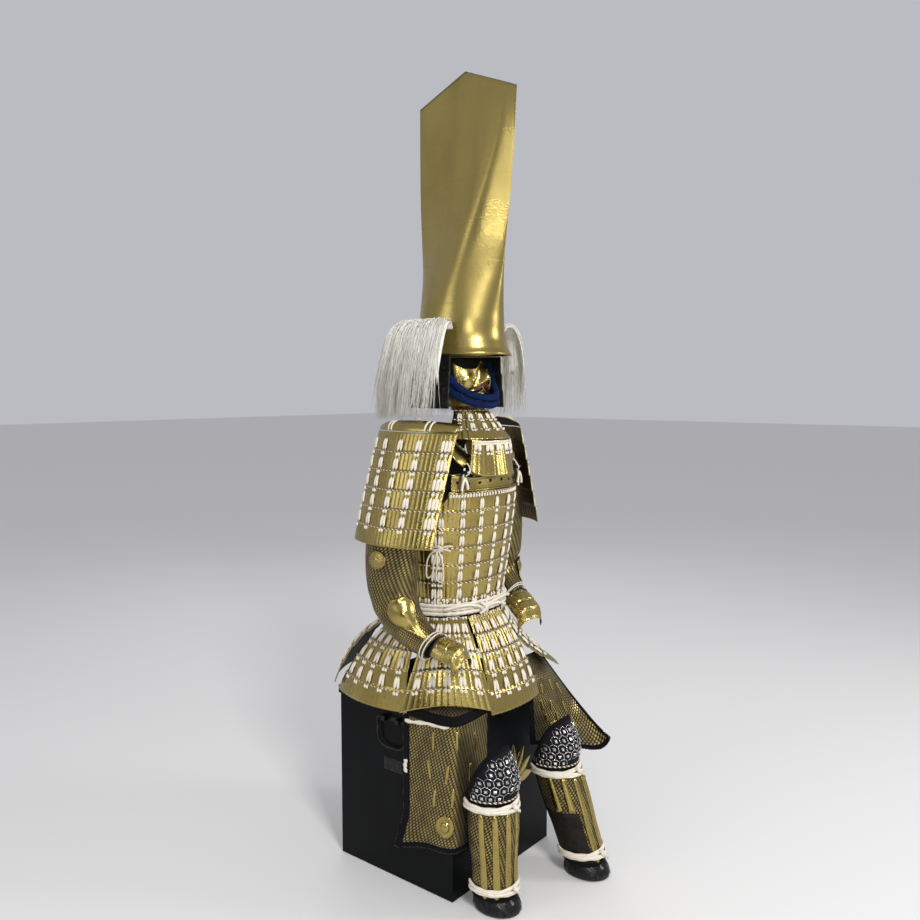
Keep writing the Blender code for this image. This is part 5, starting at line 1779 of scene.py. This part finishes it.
class ARMOUR_OT_mask(ArmourOperator):
    """Half mask with teeth and moustache, throat guard, flap and padded chin cords"""

    bl_idname = "armour.mask"
    bl_label = "Mask and throat guard"

    def make(self, sizes):
        self.face(sizes)
        laced_wall("throat_guard", throat_surface, NECK_LAMES, THROAT_HEIGHT)
        laces("throat_guard_laces", throat_surface, NECK_LAMES, THROAT_HEIGHT, last=2, width=0.0058)
        edge_cords("throat_guard_cords", throat_surface, NECK_LAMES, THROAT_HEIGHT)
        self.flap()
        self.chin_cords()

    def face(self, sizes):
        """Two grids that meet at the corners of the mouth: rows follow the upper and the lower lip."""
        rows, columns = 32, 104
        t, u = np.meshgrid(np.linspace(0, 1, rows), np.linspace(-1, 1, columns), indexing="ij")
        gap = 0.042 * np.sqrt(np.clip(1 - (u / 0.33) ** 2, 0, 1))
        corner = 0.010 * (np.abs(u) / 0.33) ** 2 * (np.abs(u) < 0.33)
        upper, lower = 0.55 - gap + corner, 0.55 + gap + corner

        def lips(v, edge):
            return 0.0022 * hump(v - edge, 0.022) * (np.abs(u) < 0.36)

        first, second = t * upper, lower + t * (1 - lower)
        halves = [lifted(mask_surface, u, v, lips(v, edge)) for v, edge in ((first, upper), (second, lower))]
        faces = np.concatenate([grid_faces(rows, columns), grid_faces(rows, columns, start=rows * columns)])
        face = add_mesh("mask", np.stack(halves), faces, "gold")
        close_up(face)
        thicken(face, PLATE)
        places = [(x, 0.535 + 0.02 * x * x) for x in np.linspace(-0.25, 0.25, 9)]
        studs("mask_teeth", mask_surface, places, 0.0042, 0.0034, "silver", base=-0.0060)
        # A black sheet just behind the mouth opening: painted shade for the dark hollow inside the mask.
        u, v = spread(9, 31, -0.36, 0.36)
        wall("mask_mouth", lifted(mask_surface, u, 0.49 + v * 0.13, -0.0085), "lining", 0.001)
        self.moustache()

    def moustache(self):
        """Short brown hairs that sweep out from under the nose."""
        draw = np.random.default_rng(11)
        each = (300, 1)
        t = np.linspace(0, 1, 6)[None]
        hand = draw.choice([-1.0, 1.0], each)
        u0 = draw.uniform(0.01, 0.20, each)
        v0 = draw.uniform(0.425, 0.468, each)
        u = hand * (u0 + draw.uniform(0.08, 0.17, each) * t)
        v = v0 + draw.uniform(0.0, 0.045, each) * t ** 1.5
        lift = 0.0010 + draw.uniform(0.0, 0.004, each) * np.sin(np.pi * 0.8 * t)
        thick = 0.00055 * (1 - 0.7 * t)
        normal = normals(mask_surface, u, v)
        centre = mask_surface(u, v) + normal * lift[..., None]
        tubes("mask_moustache", centre, normal, thick, thick, "moustache", sides=3)

    def flap(self):
        """The hanging flap: vertical scale lines, a rope across its head, and two rows of big tufts."""
        u, v = spread(24, 104)
        scale = 0.0013 * np.abs(np.sin(u * 27)) ** 0.35 * ease((v - 0.10) / 0.06)
        rim = 0.0010 * hump(v - 0.97, 0.03)
        wall("throat_flap", lifted(throat_flap_surface, u, v, scale + rim), "gold")
        line = np.linspace(-0.96, 0.96, 140)[None]
        rope = strands_on(throat_flap_surface, line, np.array([[0.07], [0.13]]), 0.0028, 1.0, 0.0026, 0.0024,
                          twist=330.0, **THREE_PLY)
        joined("throat_flap_rope", [rope], "rope")
        columns = np.linspace(-0.84, 0.84, 6)
        laces("throat_flap_laces", throat_flap_surface, 3, 0.095, 0.0012, columns, last=1, width=0.0092)

    def chin_cords(self):
        """Two padded navy rolls under the chin, creased where they bend."""
        half = np.array(((-0.1010, -0.070, 1.3700), (-0.0975, -0.076, 1.3440), (-0.0880, -0.091, 1.3180),
                         (-0.0680, -0.121, 1.2880), (-0.0380, -0.141, 1.2760), (0.0, -0.1500, 1.2720)))
        whole = np.concatenate([half, half[-2::-1] * np.array([-1.0, 1.0, 1.0])])
        coarse = through(whole, 21)
        along = unit(np.gradient(coarse, axis=0))
        down = unit(np.array([0.0, 0.0, -1.0]) + along * along[:, 2:3])
        lower = (coarse + down * 0.0198)[3:-3]
        for name, path in (("chin_cord_upper", coarse), ("chin_cord_lower", lower)):
            path = through(path, 150)
            t = np.linspace(0, 1, len(path))
            crease = 1 + 0.05 * np.sin(t * 61) * np.sin(t * 23 + 1.0) - 0.05 * np.abs(np.sin(t * 37))
            radius = (0.0094 * crease * rounded(t, 60, 0.1))[None]
            away = outward_from(path, (0, -0.06, 1.33))[None]
            tubes(name, path[None], away, radius, radius, "navy", sides=18, lobes=3, twist=60.0, swell=0.04)


class ARMOUR_OT_sleeves(ArmourOperator):
    """Mail sleeves with a boss on each, elbow plates, wrist cords and hand guards"""

    bl_idname = "armour.sleeves"
    bl_label = "Sleeves and hand guards"

    def make(self, sizes):
        for arm in ARMS:
            self.sleeve(arm)
            self.elbow(arm)
            self.wrist(arm)
            self.hand_guard(arm)

    def sleeve(self, arm):
        surface = sleeve_surface(arm)
        out = -arm.sign
        u, v = (a[:, :-1] for a in spread(96, 61))
        wrinkled = ease((v - 0.50) / 0.1) * ease((0.8 - v) / 0.1)
        wrinkle = 0.0008 * np.sin(v * 70 + 3.0 * np.sin(u * math.pi)) * wrinkled
        points = lifted(surface, u, v, out * wrinkle)
        sleeve = wall("sleeve_" + arm.side, points, "mail", CLOTH, wrap=True, flip=arm.sign > 0)
        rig.sheet(sleeve, flat=SLEEVE_CUT[arm.side], held="stretched", area=SLEEVE_AREA[arm.side],
                 rests_on=["hand_guard_" + arm.side])
        disc(f"arm_boss_{arm.side}", surface, around_arm(-92.0), 0.42, 0.018, out, fluted, 14)
        t = np.linspace(0, 1, 150)[None]
        seams = np.array([[around_arm(70.0)], [around_arm(90.0)]])
        border = strands_on(surface, seams, 0.02 + 0.94 * t, out * 0.0008, out, 0.0040, 0.0011)
        joined(f"sleeve_border_{arm.side}", [border], "navy")

    def elbow(self, arm):
        surface = elbow_surface(arm)
        u, v = spread(38, 34)
        rim = 0.0012 * (hump(np.abs(u) - 0.93, 0.05) + hump(v - 0.04, 0.03))
        points = lifted(surface, u, v, rim * -arm.sign)
        wall("elbow_plate_" + arm.side, points, "gold", flip=arm.sign > 0)

    def wrist(self, arm):
        surface = sleeve_surface(arm)
        turn = np.linspace(0, WHOLE, 96, endpoint=False)
        for name, shift in ((f"wrist_cord_{arm.side}", 0.0), (f"wrist_cord_second_{arm.side}", -0.020)):
            place = 0.985 + shift - 0.010 * np.cos(turn - math.radians(36 + 2500 * shift))
            path = lifted(surface, turn / math.pi - 1, place, -arm.sign * 0.0042)
            closed_cord(name, path, 0.0016, sides=9, pitch=0.012)

    def hand_guard(self, arm):
        """Hammered plate with two by two raised square panels, studs at their corners and a black edge."""
        surface = hand_guard_surface(arm)
        u, v = spread(56, 66)
        inside = 1.0
        for axis, edges in ((u, ((-0.46, -0.03), (0.03, 0.46))), (v, ((0.14, 0.42), (0.47, 0.75)))):
            band = sum(ease((axis - low) / 0.025) * ease((high - axis) / 0.025) for low, high in edges)
            inside = inside * band
        rim = 0.0010 * (hump(np.abs(u) - 0.95, 0.04) + hump(v - 0.97, 0.02))
        face = lifted(surface, u, v, -(0.0022 * inside + rim))
        wall("hand_guard_" + arm.side, face, "hammered_gold", flip=True)
        places = [(x, y) for x in (-0.52, 0.0, 0.52) for y in (0.10, 0.445, 0.80)]
        studs(f"hand_studs_{arm.side}", surface, places, 0.0026, 0.0024, "silver", side=-1.0)
        line = np.linspace(-0.97, 0.97, 90)[None]
        edge = strands_on(surface, line, 0.012, -0.0006, -1.0, 0.0022, 0.0016)
        joined(f"hand_edge_{arm.side}", [edge], "lining")


THIGH_SPLINTS = (
    (-0.42, 0.27, 0.00), (0.08, 0.25, 0.01), (0.50, 0.30, 0.02), (-0.50, 0.45, 0.05), (-0.14, 0.46, -0.05),
    (0.38, 0.48, -0.03), (-0.40, 0.62, -0.03), (-0.02, 0.60, -0.03), (0.46, 0.65, 0.02),
)


class ARMOUR_OT_thigh_guards(ArmourOperator):
    """The two mail panels over the thighs, with cloth borders, splints, bosses and a fringed hem"""

    bl_idname = "armour.thigh_guards"
    bl_label = "Thigh guards"

    def make(self, sizes):
        down = np.concatenate([np.linspace(0, 0.20, 16, endpoint=False), np.linspace(0.20, 1.0, 44)])
        v, u = np.meshgrid(down, np.linspace(-1, 1, 72), indexing="ij")
        right = wall("thigh_guard_right", thigh_right_surface(u, v), "mail", CLOTH)
        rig.sheet(right, flat=(0.28, 0.36), held="draped", rests_on=["chest_lid"])
        u, v = spread(44, 72)
        left = wall("thigh_guard_left", thigh_left_surface(u, v), "mail", CLOTH)
        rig.sheet(left, flat=(0.21, 0.31), held="draped", rests_on=["tasset_front_left"])
        self.trim("right", thigh_right_surface, 0.22, THIGH_SPLINTS, (-0.18, 0.84))
        self.trim("left", thigh_left_surface, 0.02, THIGH_SPLINTS, (-0.10, 0.80))
        self.top_strip()

    def top_strip(self):
        """A dark cloth band at the head of the right panel, and a pale strip and patch on its border."""
        t = np.linspace(0, 1, 60)[None]
        surface = thigh_right_surface
        band = strands_on(surface, 1.92 * t - 0.955, 0.186, 0.0009, 1.0, 0.0125, 0.0012)
        joined("thigh_top_band", [band], "dark_cloth")
        strip = strands_on(surface, 0.85 * t - 0.95, 0.250 - 0.030 * t + 0.004 * np.sin(t * 9), 0.0014,
                           1.0, 0.0050 + 0.0012 * np.sin(t * 23), 0.0014)
        patch = strands_on(surface, -0.945 + 0.008 * np.sin(t * 8), 0.49 + 0.08 * t, 0.0022,
                           1.0, 0.0060 + 0.0014 * np.sin(t * 17), 0.0010)
        joined("thigh_top_strip", [strip, patch], "braid")

    def trim(self, side, surface, top, splints, boss):
        """Dark cloth borders at the edges and the hem, scattered upright splints, a boss and the fringe."""
        t = np.linspace(0, 1, 120)[None]
        edges = np.array([[-0.93], [0.975]])
        wide = np.array([[0.0105], [0.0040]])
        border = strands_on(surface, edges, top + (0.995 - top) * t, 0.0007, 1.0, wide, 0.0012)
        hem = strands_on(surface, 1.93 * t - 0.965, 0.982, 0.0007, 1.0, 0.0058, 0.0012)
        joined(f"thigh_border_{side}", [border, hem], "dark_cloth")
        middles, tops, lean = np.array(splints).T
        ribs(f"thigh_splints_{side}", surface, middles, tops, tops + 0.120, (0.0048, 0.0036), 0.0028, lean)
        disc(f"thigh_boss_{side}", surface, *boss, 0.027, 1.0, ringed, 22)
        draw = np.random.default_rng(3)
        each = (260, 1)
        t = np.linspace(0, 1, 5)[None]
        u = draw.uniform(-0.97, 0.97, each)
        u = u + 0.01 * np.sin(t * 3) * draw.uniform(-1, 1, each)
        v = 0.985 + 0.022 * t + 0 * u
        on_cloth = np.minimum(v, 1.0)
        centre = lifted(surface, u, on_cloth, 0.0004) - stack(0, 0, 0.33 * (v - on_cloth))
        normal = normals(surface, u, on_cloth)
        tubes(f"thigh_fringe_{side}", centre, normal, 0.0008, 0.0006, "lining", "navy_cloth", sides=3)


class ARMOUR_OT_legs(ArmourOperator):
    """Knee guards, splinted shin guards, ties and fur shoes"""

    bl_idname = "armour.legs"
    bl_label = "Legs"

    def make(self, sizes):
        for leg in LEGS:
            self.shin(leg)
            self.knee(leg)
            self.ties(leg)
            self.shoe(leg, sizes)

    def shin(self, leg):
        surface = shin_surface(leg)
        u, v = spread(36, 80)
        guard = wall("shin_guard_" + leg.side, surface(u, v), "mail", CLOTH)
        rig.sheet(guard, flat=(0.275, 0.252), held="stretched", rests_on=["shoe_" + leg.side])
        middles = np.linspace(-0.60, 0.60, 6)
        inward = middles * (1.0 if leg.side == "right" else -1.0)
        feet = np.where(inward > 0.2, 0.47, 1.0)
        ribs(f"shin_splints_{leg.side}", surface, middles, 0.10, feet, (0.0074, 0.0108), 0.0048)
        t = np.linspace(0, 1, 60)[None]
        lines, sides = np.array([[0.02], [0.985]]), np.array([[-0.975], [0.975]])
        hems = strands_on(surface, 1.94 * t - 0.97, lines, 0.0006, 1.0, 0.0050, 0.0011)
        ends = strands_on(surface, sides, 0.01 + 0.98 * t, 0.0006, 1.0, 0.0055, 0.0011)
        joined(f"shin_hem_{leg.side}", [hems, ends], "dark_cloth")
        v, u = np.meshgrid(np.linspace(0.47, 0.97, 16), np.linspace(0.24, 0.95, 30), indexing="ij")
        mirrored = leg.side == "left"
        patch = lifted(surface, -u if mirrored else u, v, 0.0016)
        wall(f"shin_patch_{leg.side}", patch, "leather", 0.0011, inside="leather", flip=mirrored)

    def knee(self, leg):
        surface = knee_surface(leg)
        u, v = spread(40, 82)
        rim = 0.0012 * (hump(np.abs(u) - 0.96, 0.03) + hump(v - 0.03, 0.03))
        wall("knee_guard_" + leg.side, lifted(surface, u, v, rim), "brocade", 0.004)
        self.hexagons(leg, surface)
        line = np.linspace(-0.985, 0.985, 120)[None]
        trim = strands_on(surface, line, 0.985, 0.0014, 1.0, 0.0022, 0.0018, **TWO_PLY)
        joined(f"knee_trim_{leg.side}", [trim], "edge_cord")
        edge = strands_on(surface, line, 0.022, 0.0010, 1.0, 0.0062, 0.0026)
        joined(f"knee_edge_{leg.side}", [edge], "dark_cloth")

    def hexagons(self, leg, surface):
        """Silver outlines of a honeycomb: six edges for each cell, and a square stud in its middle."""
        across = span(surface(*spread(3, 41))[1:], 1)
        side = 0.0126

        def on_guard(x, below):
            """u and v at a distance across and a height below the guard's peak."""
            u = 2 * x / across
            top = KNEE_TOP_Z - 0.100 * np.abs(u) ** 2.2
            return u, (below - (KNEE_TOP_Z - top)) / (top - SHIN_TOP_Z)

        row_grid, column_grid = np.meshgrid(np.arange(0, 7), np.arange(-5, 6), indexing="ij")
        x = column_grid * side * 1.80 + np.where(row_grid % 2, side * 0.90, 0.0)
        below = 0.030 + row_grid * side * 1.56
        u0, v0 = on_guard(x, below)
        head = on_guard(x, below - 0.015)[1]
        keep = (np.abs(u0) < 0.91) & (head > 0.0) & (v0 < 0.90)
        x, below = x[keep][:, None], below[keep][:, None]
        t = np.linspace(0, 1, 4)[None]
        pieces = []
        for start in range(30, 390, 60):
            a, b = math.radians(start), math.radians(start + 60)
            dx = side * (math.cos(a) * (1 - t) + math.cos(b) * t)
            dy = side * (math.sin(a) * (1 - t) + math.sin(b) * t)
            u, v = on_guard(x + dx, below + dy)
            pieces.append(strands_on(surface, u, v, 0.0006, 1.0, 0.00065, 0.0008, sides=4))
        joined(f"knee_hexagons_{leg.side}", pieces, "silver", "white_cord")
        corners = np.radians(np.arange(45, 405, 90.0))[None]
        reach = 0.0056
        rings = []
        for share, rise in ((1.0, 0.0), (1.0, 0.0016), (0.62, 0.0030)):
            u, v = on_guard(x + reach * share * np.cos(corners), below + reach * share * np.sin(corners))
            rings.append(lifted(surface, u, v, rise + 0 * u))
        faces = ring_faces(len(x), len(rings), 4)
        points = np.stack(rings, axis=1)
        add_mesh(f"knee_studs_{leg.side}", points, faces, "silver", slot="knee_brocade", flat=True)

    def ties(self, leg):
        """White cloth ties: two soft bands that cross and crease, with a small knot beside the front."""
        surface = shin_surface(leg)
        for place, share in (("upper", 0.075), ("lower", 0.905)):
            u = np.linspace(-1.0, 1.0, 160)[None]
            soft = 0.0062 + 0.0014 * np.sin(u * 17) * np.sin(u * 7 + 1)
            pieces = []
            for hand, lift, high in ((-1, 0.0050, 0.0032), (1, 0.0062, 0.0030)):
                v = share + hand * (0.022 + 0.012 * np.sin(u * 4 + 0.5))
                pieces.append(strands_on(surface, u, v, lift, 1.0, soft, high, sides=10))
            t = np.linspace(0, 1, 14)[None]
            bow = np.sin(np.pi * t)
            fat = 0.0070 * np.sin(np.pi * (0.1 + 0.8 * t))
            knot = strands_on(surface, -0.06 + 0.13 * t, share - 0.035 + 0.07 * t, 0.0088 + 0.002 * bow,
                              1.0, fat, 0.0042, sides=10)
            end = strands_on(surface, 0.02 + 0.16 * t, share + 0.02 + 0.07 * t, 0.0080 + 0.004 * bow,
                             1.0, 0.0042, 0.0016)
            joined(f"shin_tie_{place}_{leg.side}", [*pieces, knot, end], "tie_cloth")

    def shoe(self, leg, sizes):
        """A leather boot under short fur: each hair lies down and back over the one behind it."""
        surface = shoe_surface(leg)
        u, v = (a[:, :-1] for a in spread(30, 49))
        wall("shoe_" + leg.side, surface(u, v), "fur", 0.003, wrap=True, inside="fur")
        draw = np.random.default_rng(5)
        each = (sizes.fur_tufts, 1)
        t = np.linspace(0, 1, 4)[None]
        u0 = draw.uniform(-1, 1, each)
        v0 = draw.uniform(0.0, 0.86, each) ** 0.9
        u = u0 + draw.uniform(-0.05, 0.05, each) * t
        v = np.clip(v0 + draw.uniform(0.08, 0.15, each) * t, 0, 0.985)
        lift = 0.0002 + 0.0026 * np.sin(np.pi * 0.75 * t)
        thick = 0.0010 * (1 - 0.8 * t)
        skin = surface(u, v)
        normal = -normals(surface, u, v)
        away = skin[..., :2] - np.array([leg.foot_x, leg.foot_y])
        outward = (normal[..., :2] * away).sum(axis=-1, keepdims=True) > 0
        normal = np.where(outward, normal, -normal)
        centre = skin + normal * lift[..., None]
        centre[..., 2] = np.maximum(centre[..., 2], 0.0012)
        tubes("shoe_fur_" + leg.side, centre, normal, thick, thick * 0.6, "fur", sides=3)


class ARMOUR_OT_chest(ArmourOperator):
    """Lacquer and iron on the chest's own solids, its plates and a gilt leaf ornament on the front"""

    bl_idname = "armour.chest"
    bl_label = "Armour chest"

    def make(self, sizes):
        for name in ("chest_body", "chest_lid", "handle_bracket_right", "handle_bracket_left", "handle_right",
                     "handle_left"):
            node = frame["nodes"][name]
            node.data.materials.clear()
            node.data.materials.append(painted("iron" if name.startswith("handle") else "lacquer"))
        low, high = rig.box("chest_body")
        self.side_plates(low, high)
        self.leaf_spray(low)

    def side_plates(self, low, high):
        """A small iron plate low on each side."""
        for side, x, out in (("right", low.x, -1.0), ("left", high.x, 1.0)):
            t = np.linspace(-1, 1, 25)
            y, z = np.meshgrid(t, t, indexing="ij")
            lift = 0.0011 * ease((1 - np.maximum(np.abs(y), np.abs(z))) / 0.14) + 0.0001
            points = stack(x + out * lift, y * 0.034, 0.305 + z * 0.018)
            faces = grid_faces(25, 25)
            plate = add_mesh(f"side_plate_{side}", points, faces if out < 0 else faces[:, ::-1], "iron")
            thicken(plate, 0.0006, "iron")

    def leaf_spray(self, low):
        """A plain gilt spray on the chest's front: seven pointed leaves in a fan over a short curved stem."""
        middle_x, y, middle_z = 0.045, low.y, 0.225
        t, w = np.meshgrid(np.linspace(0, 1, 17), np.linspace(-1, 1, 7), indexing="ij")
        vertices, faces = [], []
        for i, angle in enumerate(np.radians(np.arange(-90, 91, 30.0))):
            length = 0.088 - 0.014 * abs(i - 3) / 3
            width = 0.0150 * np.sin(np.pi * t ** 0.8) * w
            along = 0.018 + length * t
            x = middle_x + along * math.sin(angle) + width * math.cos(angle)
            z = middle_z + along * math.cos(angle) - width * math.sin(angle)
            raised = 0.0002 + 0.0011 * (1 - np.abs(w)) * np.sin(np.pi * np.clip(t, 0.02, 0.98)) ** 0.5
            start = sum(len(part) for part in vertices)
            vertices.append(stack(x, y - raised, z).reshape(-1, 3))
            faces.append(grid_faces(17, 7, start=start)[:, ::-1])
        spray = add_mesh("chest_leaf_spray", np.concatenate(vertices), np.concatenate(faces), "gold")
        close_up(spray)
        thicken(spray, 0.0002, "gold")
        stem = np.array([(0.004, 0.0002, -0.070), (-0.005, 0.0, -0.020), (0.0, 0.0002, 0.018)])
        path = through(stem + [middle_x, y - 0.0008, middle_z], 24)[None]
        tubes("chest_leaf_stem", path, np.broadcast_to([0.0, -1.0, 0.0], path.shape), 0.0026, 0.0008, "gold")


class ARMOUR_PT_panel(bpy.types.Panel):
    """Lists the armour's operators and its sizes and colours"""

    bl_label = "Seated armour"
    bl_idname = "ARMOUR_PT_panel"
    bl_space_type = "VIEW_3D"
    bl_region_type = "UI"
    bl_category = "Armour"

    def draw(self, context):
        for group in (context.scene.armour_sizes, context.scene.armour_colours):
            for key in group.bl_rna.properties.keys():
                if key not in ("rna_type", "name"):
                    self.layout.prop(group, key)
        for operator in OPERATORS:
            self.layout.operator(operator.bl_idname)


OPERATORS = (
    ARMOUR_OT_stage,
    ARMOUR_OT_cuirass,
    ARMOUR_OT_skirt,
    ARMOUR_OT_shoulders,
    ARMOUR_OT_helmet,
    ARMOUR_OT_mask,
    ARMOUR_OT_sleeves,
    ARMOUR_OT_thigh_guards,
    ARMOUR_OT_legs,
    ARMOUR_OT_chest,
)
CLASSES = (ArmourSizes, ArmourColours) + OPERATORS + (ARMOUR_PT_panel,)


def register():
    for made in CLASSES:
        bpy.utils.register_class(made)
    bpy.types.Scene.armour_sizes = PointerProperty(type=ArmourSizes)
    bpy.types.Scene.armour_colours = PointerProperty(type=ArmourColours)


def unregister():
    del bpy.types.Scene.armour_colours
    del bpy.types.Scene.armour_sizes
    for made in reversed(CLASSES):
        bpy.utils.unregister_class(made)


def main():
    register()
    for operator in OPERATORS:
        group, name = operator.bl_idname.split(".")
        getattr(getattr(bpy.ops, group), name)()
    low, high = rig.bounds()
    sizes = {"cad": [list(CAD_LOW), list(CAD_HIGH)], "visual": [list(low), list(high)]}
    with open("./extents.json", "w") as out:
        json.dump(sizes, out)


if __name__ == "__main__":
    main()
